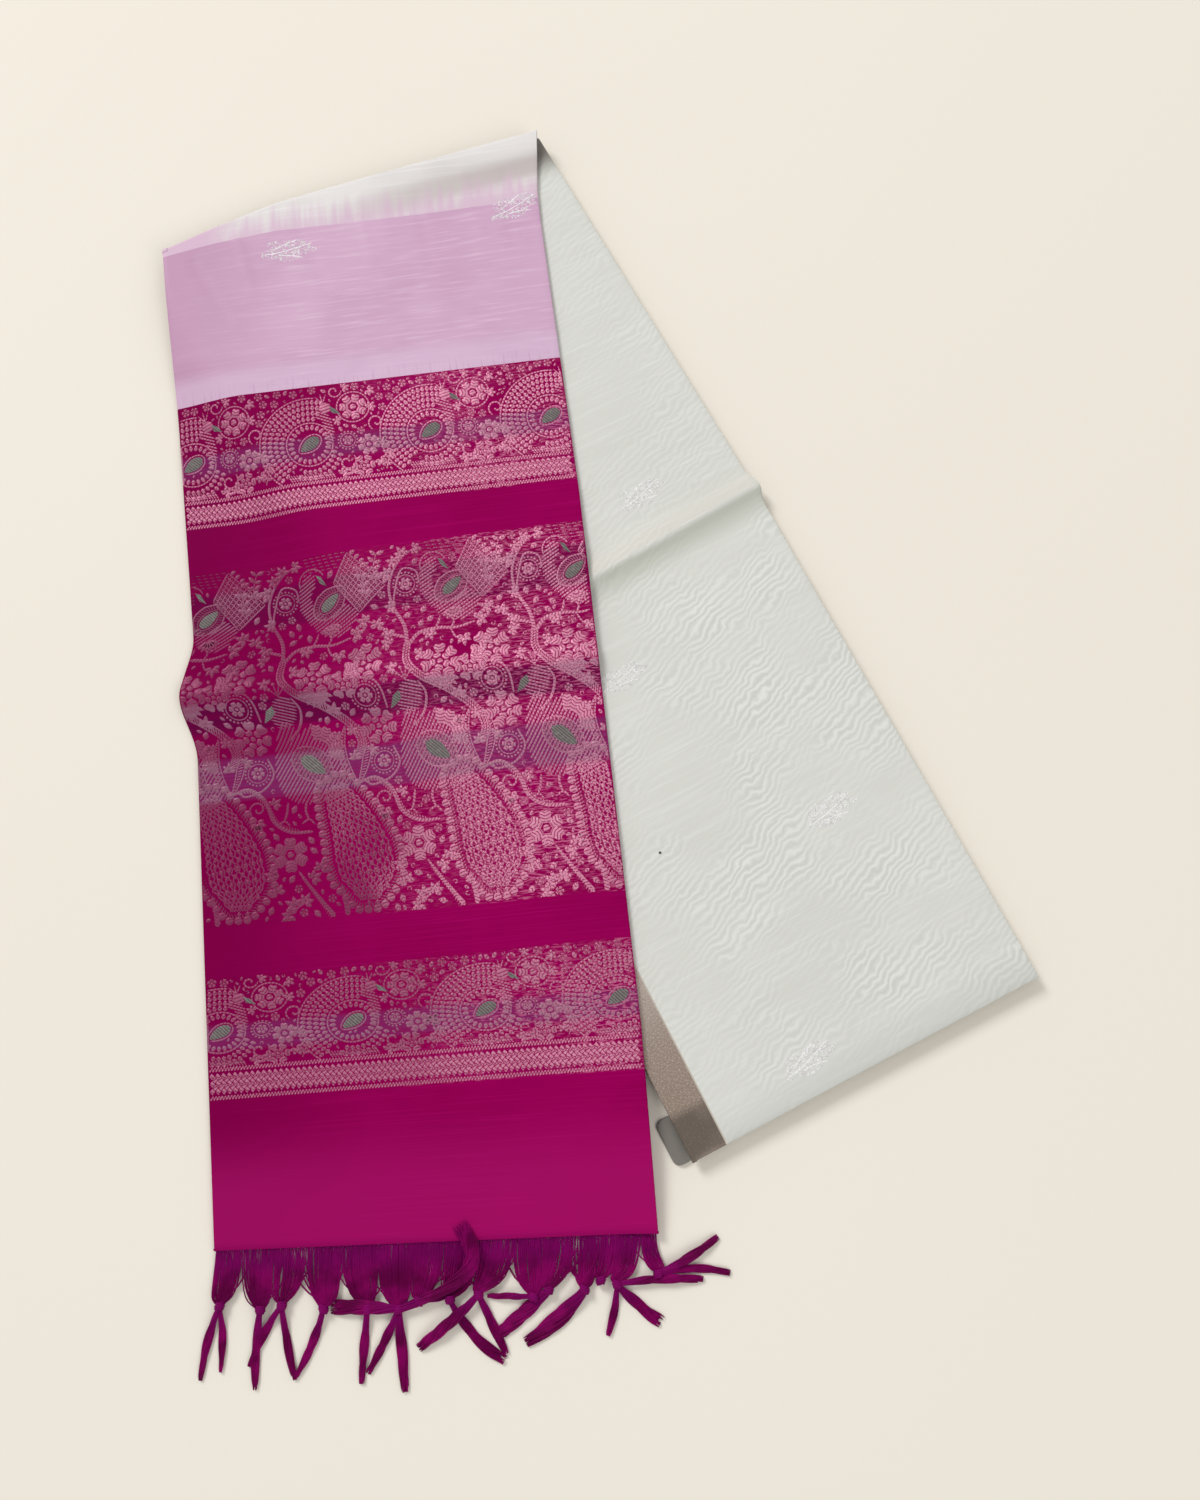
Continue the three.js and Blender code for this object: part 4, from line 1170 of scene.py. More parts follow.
def rosettes(weft):
    """Flowers, curls and leaves between the round peacocks."""
    weft.yarn, weft.tone = "zari", 1.0
    weft.flower((34, -26), 10.5, 7, 30)
    weft.thread(arc((34, -26), 12.0, 0, 360), 1.2)
    weft.ringed((28, 0), 7.0)
    weft.flower((43, 5), 8.6, 7, 10)
    weft.curl((26, 17), 7.0, -40, 1.1, 1.7)
    weft.curl((50, -12), 6.4, 120, 1.1, 1.6)
    weft.curl((21, -40), 5.5, 0, 1.1, 1.5)
    weft.blossom((38, 21), 8.2, 6)
    weft.clusters(((22, 26, -40, 7), (30, 26, -90, 6), (50, 18, 60, 7), (52, 6, -60, 7),
                   (46, -24, -50, 6.4), (46, -38, 30, 6.4), (28, -42, -20, 6), (23, -16, 200, 6)))
    weft.sprig([(54, 26), (57, 14), (53, 2)], 5, 5.6)


def rope(weft, y, tall):
    """A twisted line of slanting stitches."""
    for x in np.arange(1.4, STRIP_WIDTH - 1.0, 2.05):
        weft.thread(np.linspace((x, y + tall), (x + 1.9, y), 3), 1.45, blunt=0.7)


def narrow_band(height, strip, seed):
    """Round peacocks on a strip, and rows of small diamonds between two ropes under it."""
    weft = Weft(STRIP_WIDTH, height)
    tall = strip / 74.0
    for n in range(-1, 4):
        weft.move(9 + UNIT * n, 46 * tall, 1.0, tall)
        round_peacock(weft)
        rosettes(weft)
    weft.move(0, 0)
    weft.taken[int(strip * weft.CELLS):] = True
    rng = np.random.default_rng(seed)
    weft.fill(rng, 2400, ((2.9, "bud", 0.9), (2.4, "leaf", 1.4), (1.8, "comma", 0.9), (1.4, "leaf", 2.2)))
    rope(weft, strip + 0.7, 2.5)
    pitch = (height - strip - 8.4) / 5.72
    for row in range(5):
        y = strip + 4.2 + pitch * (row + 0.86)
        for x in np.arange(2.8 + (1.9 if row % 2 else 0), 285.5, 3.8):
            weft.patch([(x - 1.8, y), (x, y - pitch * 0.92), (x + 1.8, y), (x, y + pitch * 0.92)], 0.18,
                       lay=60 if row % 2 else -60)
    rope(weft, height - 3.3, 2.5)
    return weft


def woven_piece(name, store, surface, material):
    """Threads drawn flat, laid on a cloth's surface(x, y)."""
    points = np.vstack(store["places"])
    where, across, along = surface(points[:, 0], points[:, 1], points[:, 2])
    piece = mesh_piece(name, where, store["faces"], (
        ("cloth", np.stack([across, along], -1) * MM),
        ("stitch", np.stack([points[:, 3] * MM, points[:, 4]], -1)),
    ))
    only(piece)
    edit_all(bpy.ops.mesh.normals_make_consistent, inside=False)
    finish(piece, material, 65)
    return piece


def band_surface(start, end, height):
    edges_at = rows_between(PALLU_ROWS, start, end)

    def surface(x, y, rise):
        left, right = edges_at(y / height)
        px, py, pz = pallu_top(x / STRIP_WIDTH, left, right)
        return to_frame(px, py, pz + rise), x, left

    return surface


def weave_band(name, weft, start, end, zari, meena):
    surface = band_surface(start, end, weft.height)
    return [
        woven_piece(f"{name}_{yarn}", weft.yarns[yarn], surface, material)
        for yarn, material in (("zari", zari), ("meena", meena))
    ]


# ---- fringe ----
KNOT_LEVEL = 3.9
# bunches of warp ends: place along the cloth's end, and the knot from there
BUNCHES = (
    (0.028, -2, -33), (0.098, 4, -36), (0.170, -3, -34), (0.246, 2, -37), (0.330, 6, -38),
    (0.410, 3, -39), (0.482, -5, -35), (0.555, -6, -35), (0.636, -11, -33), (0.714, 2, -35),
    (0.782, -8, -32), (0.838, -1, -32), (0.888, -5, -27), (0.938, -9, -30), (0.982, 5, -24),
)
# tails below the knots: bunch, heading, curl, length, width, tip's share of the width, arch
TAILS = (
    (0, -112, 20, 46, 6.1, 0.5, 0), (0, -80, -14, 40, 5.4, 0.5, 0), (1, -97, 12, 48, 6.6, 0.6, 0),
    (2, -126, 18, 42, 6.1, 0.5, 0), (2, -82, 10, 46, 5.9, 0.8, 0), (3, -104, -16, 44, 6.3, 0.5, 0),
    (4, -95, 4, 45, 6.3, 0.6, 0), (5, -185, 8, 44, 9.8, 1.1, 3.4), (5, -112, -8, 43, 6.3, 0.6, 0),
    (5, -85, 3, 50, 7.8, 0.7, 0), (6, 4, 14, 22, 5.1, 0.8, 0), (7, -62, 34, 52, 7.3, 1.2, 0),
    (8, -136, -8, 50, 8.1, 0.8, 3.4), (8, -64, 2, 40, 6.6, 0.9, 0), (9, 178, 4, 30, 4.6, 0.7, 2.2),
    (10, -138, -4, 42, 10.0, 0.9, 0), (11, -128, -24, 50, 12.0, 0.6, 0), (13, -92, -18, 32, 5.6, 0.7, 0),
    (13, -46, 14, 37, 7.6, 1.2, 0), (13, 10, -16, 56, 6.3, 0.8, 2.6), (14, 12, -26, 47, 5.9, 0.7, 0),
    (14, 22, 16, 45, 6.8, 0.6, 2.0),
)


def end_place(u, past):
    left, right = PALLU_ROWS["cloth_end"]
    x, y = pallu_place(np.asarray(u, float), left + past, right + past)
    return float(x), float(y)


def knot_place(k):
    x, y = end_place(BUNCHES[k][0], 0.3)
    return np.array([x + BUNCHES[k][1], y + BUNCHES[k][2], KNOT_LEVEL])


class Yarns:
    """Round threads along paths in space, kept in one mesh."""

    def __init__(self):
        self.places, self.faces, self.flat, self.count = [], [], [], 0

    def strand(self, path, radius, sides=4, ends=0.45):
        path = np.asarray(path, float)
        n = len(path)
        way = np.gradient(path, axis=0)
        way /= np.maximum(np.linalg.norm(way, axis=1), 1e-6)[:, None]
        side = np.cross(way, (0.0, 0.0, 1.0))
        side /= np.maximum(np.linalg.norm(side, axis=1), 1e-6)[:, None]
        up = np.cross(side, way)
        size = np.full(n, float(radius))
        size[0] *= ends
        size[-1] *= ends
        length = np.concatenate([[0], np.cumsum(np.linalg.norm(np.diff(path, axis=0), axis=1))])
        for s in range(sides):
            turn = 2 * math.pi * s / sides
            self.places.append(path + (side * math.cos(turn) + up * math.sin(turn)) * size[:, None])
            self.flat.append(np.stack([np.full(n, s * 0.6), length], -1))
        base = self.count
        for s in range(sides):
            t = (s + 1) % sides
            for k in range(n - 1):
                a, b = base + s * n + k, base + t * n + k
                self.faces.append((a, b, b + 1, a + 1))
        self.faces.append(tuple(base + s * n for s in range(sides))[::-1])
        self.faces.append(tuple(base + s * n + n - 1 for s in range(sides)))
        self.count += sides * n


def bezier(points, count):
    t = np.linspace(0, 1, count)[:, None]
    a, b, c, d = (np.asarray(p, float) for p in points)
    return (1 - t) ** 3 * a + 3 * (1 - t) ** 2 * t * b + 3 * (1 - t) * t * t * c + t**3 * d


def fan(yarns, k, rng):
    """The threads of one bunch, from the cloth's end to its knot; a few cross to the next knot."""
    before = BUNCHES[k - 1][0] if k else -BUNCHES[0][0]
    after = BUNCHES[k + 1][0] if k + 1 < len(BUNCHES) else 2 - BUNCHES[k][0]
    low = max((before + BUNCHES[k][0]) / 2, 0.004)
    high = min((after + BUNCHES[k][0]) / 2, 0.996)
    count = int((high - low) * STRIP_WIDTH / 0.45)
    for i in range(count):
        share = (i + rng.uniform(0.2, 0.8)) / count
        u = mix(low, high, share)
        x, y = end_place(u, 0.0)
        aim = k
        if rng.uniform() < 0.1 and 0 < k < len(BUNCHES) - 1:
            aim = k + (1 if share > 0.5 else -1)
        knot = knot_place(aim) + (rng.uniform(-0.3, 0.3) + (share - 0.5) * 3.6, 0.6,
                                  rng.uniform(-0.9, 0.9))
        reach = y - knot[1]
        root = (x, y + 0.5, 2.1 + rng.uniform(-0.25, 0.35))
        sag = (x + rng.normal(0, 0.8), y - reach * rng.uniform(0.72, 0.95), rng.uniform(1.3, 2.8))
        neck = (knot[0] + (share - 0.5) * rng.uniform(7.0, 15.0), knot[1] + reach * rng.uniform(0.1, 0.2),
                KNOT_LEVEL * 0.85)
        yarns.strand(bezier((root, sag, neck, knot), 9), rng.uniform(0.4, 0.58))


def knot(yarns, k, rng):
    """Three turns of yarn around the gathered threads."""
    at = knot_place(k)
    tilt = rng.uniform(-0.35, 0.35)
    for turn in range(4):
        spins = np.linspace(0, 2 * math.pi * 1.04, 15)
        drop = (turn - 1.5) * 1.25
        radius = 2.7 - 0.5 * abs(turn - 1.5)
        round_x = at[0] + radius * 1.1 * np.cos(spins)
        round_y = at[1] + drop + tilt * radius * np.cos(spins)
        round_z = at[2] - 0.2 + radius * 0.95 * np.sin(spins)
        yarns.strand(np.stack([round_x, round_y, round_z], -1), 0.85, 5, 1.0)
    for way in (-1, 1):
        path = bezier((at + (way * 1.8, 2.6, -1.2), at + (way * 2.6, 1.0, 2.6),
                       at + (-way * 2.4, -1.2, 3.2), at + (-way * 2.0, -2.6, -1.0)), 9)
        yarns.strand(path, 0.8, 5)


def tail_path(start, heading, curl, length, arch):
    """A path from a knot down to the table and along it, turning by the curl in all."""
    at = np.array(start[:2], float)
    steps = 16
    path = []
    for k in range(steps + 1):
        t = k / steps
        level = mix(KNOT_LEVEL, 1.35, smooth(0, 0.45, t)) + arch * math.sin(math.pi * t)
        path.append((at[0], at[1], float(level)))
        at = at + length / steps * heading_ways(heading)[0]
        heading += curl / steps
    return np.array(path)


def tail(yarns, path, width, tip, rng):
    """A lock of threads that lie side by side and turn slowly around each other."""
    n = len(path)
    t = np.linspace(0, 1, n)
    way = np.gradient(path[:, :2], axis=0)
    way /= np.hypot(way[:, 0], way[:, 1])[:, None]
    side = np.stack([-way[:, 1], way[:, 0]], -1)
    taper = mix(0.5, 1.0, smooth(0, 0.45, t)) * mix(1.0, tip, smooth(0.55, 1, t))
    count = int(width * 2.6) + 4
    spin = rng.choice((-1, 1)) * rng.uniform(0.7, 1.6)
    for i in range(count):
        phase = 2 * math.pi * i / count
        reach = math.sqrt((i % 5 + 1.5) / 6.5)
        turn = phase + spin * math.pi * t
        across = np.cos(turn) * reach * taper * (width / 2 - 0.35)
        lift = np.sin(turn) * reach * 0.75
        cut = n - rng.integers(0, 2)
        level = np.maximum(path[:, 2] + lift, 0.5)
        strand = np.column_stack([path[:, :2] + side * across[:, None], level])
        yarns.strand(strand[:cut], rng.uniform(0.42, 0.6))


def fringe(material):
    """All bunches with their knots and tails, and one tail thrown back over the cloth."""
    rng = np.random.default_rng(4)
    yarns = Yarns()
    for k in range(len(BUNCHES)):
        fan(yarns, k, rng)
        knot(yarns, k, rng)
    for k, heading, curl, length, width, tip, arch in TAILS:
        tail(yarns, tail_path(knot_place(k), heading, curl, length, arch), width, tip, rng)
    back = bezier((knot_place(5) + (0, 0, 1.0), (-68, -346, 7.5), (-80, -332, 7.2), (-91, -315, 4.6)), 15)
    tail(yarns, back, 10.5, 1.1, rng)
    points = np.vstack(yarns.places)
    maps = (("cloth", np.vstack(yarns.flat) * MM),)
    piece = mesh_piece("fringe", to_frame(*points.T), yarns.faces, maps)
    finish(piece, material, 80)
    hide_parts("pallu_fringe")


# ---- silver figures scattered on the cloth ----
# place on the table, heading and size, and which leg they lie on
SPRAYS = (
    (-235.0, 383.0, 8, 1.0, "lilac"),
    (-64.0, 420.5, 24, 1.0, "lilac"),
    (31.0, 187.5, 34, 0.95, "mint"),
    (17.0, 49.5, 32, 0.9, "mint"),
    (159.5, -45.0, 31, 1.0, "mint"),
    (139.5, -211.5, 34, 0.95, "mint"),
)


# what each leg is laid by, its rows, and how far across a spray may lie
SPRAY_LEGS = {
    "lilac": (pallu_place, pallu_top, rows_between(PALLU_ROWS, "cream_end", "lilac_end"), 0.994),
    "mint": (body_place, body_top, rows_between(BODY_ROWS, "fold", "bottom"), math.inf),
}


def find_on(place_of, row_of, x, y):
    """Place across and along a leg of the cloth, from a place on the table."""
    u, t = np.full(x.shape, 0.5), np.full(x.shape, 0.4)
    e = 1e-4
    for _ in range(14):
        px, py = place_of(u, *row_of(t))
        ux, uy = place_of(u + e, *row_of(t))
        tx, ty = place_of(u, *row_of(t + e))
        a, b, c, d = (ux - px) / e, (tx - px) / e, (uy - py) / e, (ty - py) / e
        size = a * d - b * c
        u = u + (d * (x - px) - b * (y - py)) / size
        t = t + (a * (y - py) - c * (x - px)) / size
    return u, t


def spray_figure(rng):
    """A feathery bunch in short silver floats; 46 by 24 mm."""
    weft = Weft(46, 24, 0.2)
    weft.yarn = "silver"
    for k in range(300):
        turn = rng.uniform(0, 2 * math.pi)
        reach = math.sqrt(rng.uniform(0.02, 1.0)) * (1.0 + 0.12 * math.sin(5 * turn))
        spot = np.array([22.5 + 19.5 * reach * math.cos(turn),
                         12.0 + (8.6 - 1.8 * math.cos(turn)) * reach * math.sin(turn)])
        heading = rng.choice((-44, -14, 22, 52)) + rng.uniform(-12, 12)
        half = heading_ways(heading)[0] * rng.uniform(0.5, 1.2)
        # every fourth float grey: painted shade among the silver floats
        weft.tone = 1.0 if k % 4 else 0.3
        weft.thread(np.linspace(spot - half, spot + half, 3), rng.uniform(0.5, 0.8), 0.2, 0.6)
    weft.tone = 1.0
    stems = ([(3, 14), (18, 13), (41, 8)], [(14, 16), (24, 17), (33, 20)], [(10, 11), (20, 7), (30, 4)])
    for path in stems:
        weft.stem(path, 0.8, 0.18)
    return weft


def silver_sprays(leg, material):
    """The sprays of one leg as one piece."""
    rng = np.random.default_rng(7)
    pieces = []
    place_of, top_of, edges_at, furthest = SPRAY_LEGS[leg]
    for x, y, heading, size, on in SPRAYS:
        if on != leg:
            continue
        weft = spray_figure(rng)
        turn = math.radians(heading)

        def surface(px, py, rise):
            ax, ay = (px - 23) * size, -(py - 13) * size
            tx = x + ax * math.cos(turn) - ay * math.sin(turn)
            ty = y + ax * math.sin(turn) + ay * math.cos(turn)
            u, t = find_on(place_of, edges_at, tx, ty)
            u = np.minimum(u, furthest)
            left, right = edges_at(t)
            sx, sy, sz = top_of(u, left, right)
            return to_frame(sx, sy, sz + rise), u * STRIP_WIDTH, mix(left, right, u)

        store = weft.yarns["silver"]
        pieces.append(woven_piece(f"spray_{len(pieces)}", store, surface, material))
    piece = join(pieces, f"silver_sprays_{leg}")
    return piece


# ---- materials ----
def tint(r, g, b):
    """A colour given as 0 to 255."""
    return tuple(((c / 255 + 0.055) / 1.055) ** 2.4 if c > 10 else c / 3294.6 for c in (r, g, b)) + (1,)


def place(tree, kind, values=None, **settings):
    node = tree.nodes.new(kind)
    for key, value in settings.items():
        setattr(node, key, value)
    for key, value in (values or {}).items():
        feed(tree, node.inputs[key], value)
    return node


def feed(tree, socket, value):
    if isinstance(value, bpy.types.NodeSocket):
        tree.links.new(value, socket)
    else:
        socket.default_value = value


def calc(tree, operation, *values, clamp=False):
    node = place(tree, "ShaderNodeMath", operation=operation, use_clamp=clamp)
    for socket, value in zip(node.inputs, values):
        feed(tree, socket, value)
    return node.outputs[0]


def blend(tree, factor, first, second):
    node = place(tree, "ShaderNodeMix", data_type="RGBA")
    feed(tree, node.inputs["Factor"], factor)
    feed(tree, node.inputs[6], first)
    feed(tree, node.inputs[7], second)
    return node.outputs[2]


def between(tree, value, low, high):
    """0 below low, 1 above high."""
    node = place(tree, "ShaderNodeMapRange", {"Value": value, "From Min": low, "From Max": high},
                 interpolation_type="SMOOTHSTEP")
    return node.outputs[0]


def times(tree, first, second):
    return calc(tree, "MULTIPLY", first, second)


def plus(tree, first, second):
    return calc(tree, "ADD", first, second)


def scaled(tree, value, by, more, clamp=False):
    return calc(tree, "MULTIPLY_ADD", value, by, more, clamp=clamp)


def minus(tree, first, second):
    return calc(tree, "SUBTRACT", first, second)


def waves(tree, value):
    return calc(tree, "SINE", value)


def apart(tree, vector):
    """The three parts of a vector."""
    return place(tree, "ShaderNodeSeparateXYZ", {0: vector}).outputs


def mapped(tree, vector, scale, turn=0):
    """A vector turned by some degrees and scaled along its parts."""
    values = {"Vector": vector, "Rotation": (0, 0, math.radians(turn)), "Scale": scale}
    return place(tree, "ShaderNodeMapping", values).outputs[0]


def drawn_out(tree, vector, across, along):
    """A vector whose first two parts are multiplied by their own amounts."""
    parts = apart(tree, vector)
    values = {0: times(tree, parts[0], across), 1: times(tree, parts[1], along)}
    return place(tree, "ShaderNodeCombineXYZ", values).outputs[0]


def speckle(tree, vector, scale, detail, **more):
    values = {"Vector": vector, "Scale": scale, "Detail": detail, **more}
    return place(tree, "ShaderNodeTexNoise", values).outputs["Fac"]


def lay_over(tree, colour, second, mask, share):
    """A second colour over the first, by a share of a mask."""
    return blend(tree, times(tree, mask, share), colour, second)


VECTOR, COLOUR, NUMBER = "NodeSocketVector", "NodeSocketColor", "NodeSocketFloat"


def new_group(name, inputs, outputs):
    """inputs: each one's kind, or a number's usual value. outputs: each one's kind."""
    group = bpy.data.node_groups.new(name, "ShaderNodeTree")
    for label, kind in inputs.items():
        number = isinstance(kind, float)
        socket_type = NUMBER if number else kind
        socket = group.interface.new_socket(label, in_out="INPUT", socket_type=socket_type)
        if number:
            socket.default_value = kind
    for label, kind in outputs.items():
        group.interface.new_socket(label, in_out="OUTPUT", socket_type=kind)
    return group, group.nodes.new("NodeGroupInput").outputs, group.nodes.new("NodeGroupOutput").inputs


def give(group, out, values):
    for key, value in values.items():
        group.links.new(value, out[key])
    return group


def use(tree, group, values):
    node = tree.nodes.new("ShaderNodeGroup")
    node.node_tree = group
    for key, value in values.items():
        feed(tree, node.inputs[key], value)
    return node.outputs


def threads_group():
    """Yarn streaks between dark and light over soft clouds, finer along one way of the cloth."""
    group, given, out = new_group(
        "Uneven yarn",
        {"Cloth": VECTOR, "Across": 9.0, "Along": 620.0, "Dark": COLOUR, "Middle": COLOUR,
         "Light": COLOUR},
        {"Colour": COLOUR, "Streaks": NUMBER})
    stretched = drawn_out(group, given["Cloth"], given["Across"], given["Along"])
    fine = speckle(group, stretched, 1.0, 3.0, Roughness=0.6)
    clouds = speckle(group, given["Cloth"], 11.0, 3.0, Roughness=0.55)
    base = blend(group, between(group, clouds, 0.3, 0.7), given["Dark"], given["Middle"])
    streaked = blend(group, between(group, fine, 0.45, 0.8), base, given["Light"])
    return give(group, out, {"Colour": streaked, "Streaks": fine})


def weave_group():
    """Height of a plain weave with its warp and weft."""
    group, given, out = new_group(
        "Plain weave", {"Cloth": VECTOR, "Warp": 1900.0, "Weft": 1700.0}, {"Height": NUMBER})
    parts = apart(group, given["Cloth"])
    wobble = speckle(group, given["Cloth"], 90.0, 1.0)
    warp, weft = (
        waves(group, plus(group, times(group, part, given[name]), times(group, wobble, sway)))
        for part, name, sway in ((parts[0], "Warp", 7.0), (parts[1], "Weft", 9.0))
    )
    height = plus(group, times(group, times(group, warp, weft), 0.25), 0.5)
    return give(group, out, {"Height": height})


def moire_group():
    """The watered figure where the layers of sheer cloth lie on each other."""
    group, given, out = new_group(
        "Watered figure", {"Cloth": VECTOR}, {"Figure": NUMBER, "Lines": NUMBER})
    turned = mapped(group, given["Cloth"], (1, 1, 1), 112)
    wave = place(group, "ShaderNodeTexWave", {
        "Vector": turned, "Scale": 66.0, "Distortion": 12.0, "Detail": 2.5,
        "Detail Scale": 0.8, "Detail Roughness": 0.5}, bands_direction="X")
    lines = speckle(group, mapped(group, given["Cloth"], (16, 330, 1), -12), 1.0, 2.0)
    where = between(group, speckle(group, given["Cloth"], 14.0, 2.0), 0.25, 0.7)
    figure = times(group, minus(group, wave.outputs["Fac"], 0.5), where)
    return give(group, out, {"Figure": figure, "Lines": lines})


def grain_group():
    """Noise drawn out along the cloth's two ways by its own amounts."""
    group, given, out = new_group(
        "Drawn out grain", {"Cloth": VECTOR, "Across": 100.0, "Along": 100.0}, {"Grain": NUMBER})
    drawn = drawn_out(group, given["Cloth"], given["Across"], given["Along"])
    return give(group, out, {"Grain": speckle(group, drawn, 1.0, 2.0)})


def left_shade_group():
    """Cloth that is duller towards its left edge: painted shade."""
    group, given, out = new_group(
        "Painted shade at left",
        {"Cloth": VECTOR, "Colour": COLOUR, "Dull": COLOUR, "Reach": 0.1, "Amount": 0.6},
        {"Colour": COLOUR})
    parts = apart(group, given["Cloth"])
    mask = times(group, between(group, parts[0], given["Reach"], 0.0), given["Amount"])
    return give(group, out, {"Colour": blend(group, mask, given["Colour"], given["Dull"])})


def stripe_group():
    """A stripe of a second weft, with soft ends and a broken cover."""
    group, given, out = new_group(
        "Weft stripe",
        {"Cloth": VECTOR, "Colour": COLOUR, "Stripe": COLOUR, "From": 0.0, "To": 0.02,
         "Weight": 0.8},
        {"Colour": COLOUR})
    along = apart(group, given["Cloth"])[1]
    into = minus(group, along, given["From"])
    left_to_go = minus(group, given["To"], along)
    inside = times(group, between(group, into, -0.003, 0.002), between(group, left_to_go, -0.003, 0.002))
    broken = speckle(group, mapped(group, given["Cloth"], (26, 900, 1)), 1.0, 2.0)
    share = scaled(group, between(group, broken, 0.35, 0.6), 0.5, 0.5)
    mask = times(group, times(group, inside, share), given["Weight"])
    return give(group, out, {"Colour": blend(group, mask, given["Colour"], given["Stripe"])})


def flecks_group():
    """Loose flecks of zari between the figures, more of them to the right."""
    group, given, out = new_group(
        "Zari flecks", {"Cloth": VECTOR, "Colour": COLOUR, "Fleck": COLOUR}, {"Colour": COLOUR})
    across = apart(group, given["Cloth"])[0]
    flecks = speckle(group, mapped(group, given["Cloth"], (170, 900, 1)), 1.0, 2.0)
    where = speckle(group, given["Cloth"], 16.0, 1.0)
    right = times(group, between(group, across, 0.09, 0.26), between(group, where, 0.3, 0.65))
    mask = times(group, between(group, flecks, 0.48, 0.6), right)
    return give(group, out, {"Colour": lay_over(group, given["Colour"], given["Fleck"], mask, 0.75)})


# radians per metre of thread or cloth
ZARI_STITCH, BORDER_TWILL, FRINGE_TWIST, MEENA_TWILL = 2700.0, 4200.0, 5200.0, 2600.0


def zari_group():
    """Metal thread with the magenta between its stitches, with painted glints, and painted shade to the
    left and in soft clouds.
    """
    group, given, out = new_group(
        "Rose zari thread",
        {"Cloth": VECTOR, "Stitch": VECTOR, "Dim": 0.0, "Depth": 0.78, "Bright from": 9.0},
        {"Colour": COLOUR, "Height": NUMBER})
    across, along = apart(group, given["Cloth"])[:2]
    sewn = apart(group, given["Stitch"])
    stitch = waves(group, times(group, sewn[0], ZARI_STITCH))
    specks = speckle(group, given["Cloth"], 640.0, 1.0)
    clouds = speckle(group, given["Cloth"], 13.0, 2.0)
    colour = blend(group, between(group, stitch, -0.95, 0.0), tint(154, 34, 92), tint(218, 138, 168))
    # bright specks: painted glints
    colour = lay_over(group, colour, tint(240, 184, 202), between(group, specks, 0.52, 0.72), 0.6)
    colour = lay_over(group, colour, tint(150, 40, 92), between(group, sewn[1], 1.0, 0.0), 0.75)
    # painted shade where the metal's sheen is weaker: in soft clouds, by a given amount, towards the left,
    # and less below a given row
    painted_lighting = scaled(group, between(group, clouds, 0.5, 0.3), 0.35, given["Dim"])
    painted_lighting = calc(group, "ADD", between(group, across, 0.22, 0.04), painted_lighting, clamp=True)
    past = minus(group, along, given["Bright from"])
    painted_lighting = scaled(group, between(group, past, 0.0, 0.002), -0.35, painted_lighting, clamp=True)
    colour = lay_over(group, colour, tint(118, 30, 74), painted_lighting, given["Depth"])
    return give(group, out, {"Colour": colour, "Height": stitch})


LAYER_LINES = 9500.0  # radians per metre of height


def layers_group():
    """Edges of folded layers, a slightly different tone in each."""
    group, given, out = new_group(
        "Layer edges",
        {"Place": VECTOR, "Dark": COLOUR, "Light": COLOUR}, {"Colour": COLOUR, "Height": NUMBER})
    level = apart(group, given["Place"])[2]
    leaves = waves(group, times(group, level, LAYER_LINES))
    noise = speckle(group, given["Place"], 60.0, 3.0)
    mask = times(group, between(group, leaves, -0.6, 0.8), between(group, noise, 0.2, 0.7))
    colour = blend(group, mask, given["Dark"], given["Light"])
    return give(group, out, {"Colour": colour, "Height": plus(group, leaves, noise)})


def new_material(name):
    material = bpy.data.materials.new(name)
    material.use_nodes = True
    tree = material.node_tree
    return material, tree, tree.nodes["Principled BSDF"]


def cloth_map(tree, name="cloth"):
    return place(tree, "ShaderNodeUVMap", uv_map=name).outputs[0]


def object_place(tree):
    return place(tree, "ShaderNodeTexCoord").outputs["Object"]


def start_material(name):
    material, tree, shader = new_material(name)
    return material, tree, shader, cloth_map(tree)


def set_finish(tree, shader, colour, roughness, sheen=0.0, metallic=0.0, level=0.2):
    values = {"Base Color": colour, "Roughness": roughness, "Sheen Weight": sheen, "Sheen Roughness": 0.4,
              "Metallic": metallic, "Specular IOR Level": level}
    for key, value in values.items():
        feed(tree, shader.inputs[key], value)


def bump(tree, shader, height, strength, distance):
    node = place(tree, "ShaderNodeBump",
                 {"Height": height, "Strength": strength, "Distance": distance * MM})
    tree.links.new(node.outputs[0], shader.inputs["Normal"])


def yarn_colour(tree, uv, dark, middle, light, across, along):
    yarn = use(tree, GROUPS["yarn"], {"Cloth": uv, "Across": across, "Along": along, "Dark": dark,
                                      "Middle": middle, "Light": light})
    return yarn["Colour"], yarn


def weave_bump(tree, shader, uv, yarn, amount):
    weave = use(tree, GROUPS["weave"], {"Cloth": uv})
    height = plus(tree, times(tree, weave["Height"], 0.35), yarn["Streaks"])
    bump(tree, shader, height, 0.5, amount)


# how far the body's crease rises per metre across, and its place down the body, for colours beside it
BODY_CREASE_LINE = (0.046, -0.3887)
DARK_SPECK = (41.1, -74, 10.6)  # one dark fibre in the mint cloth


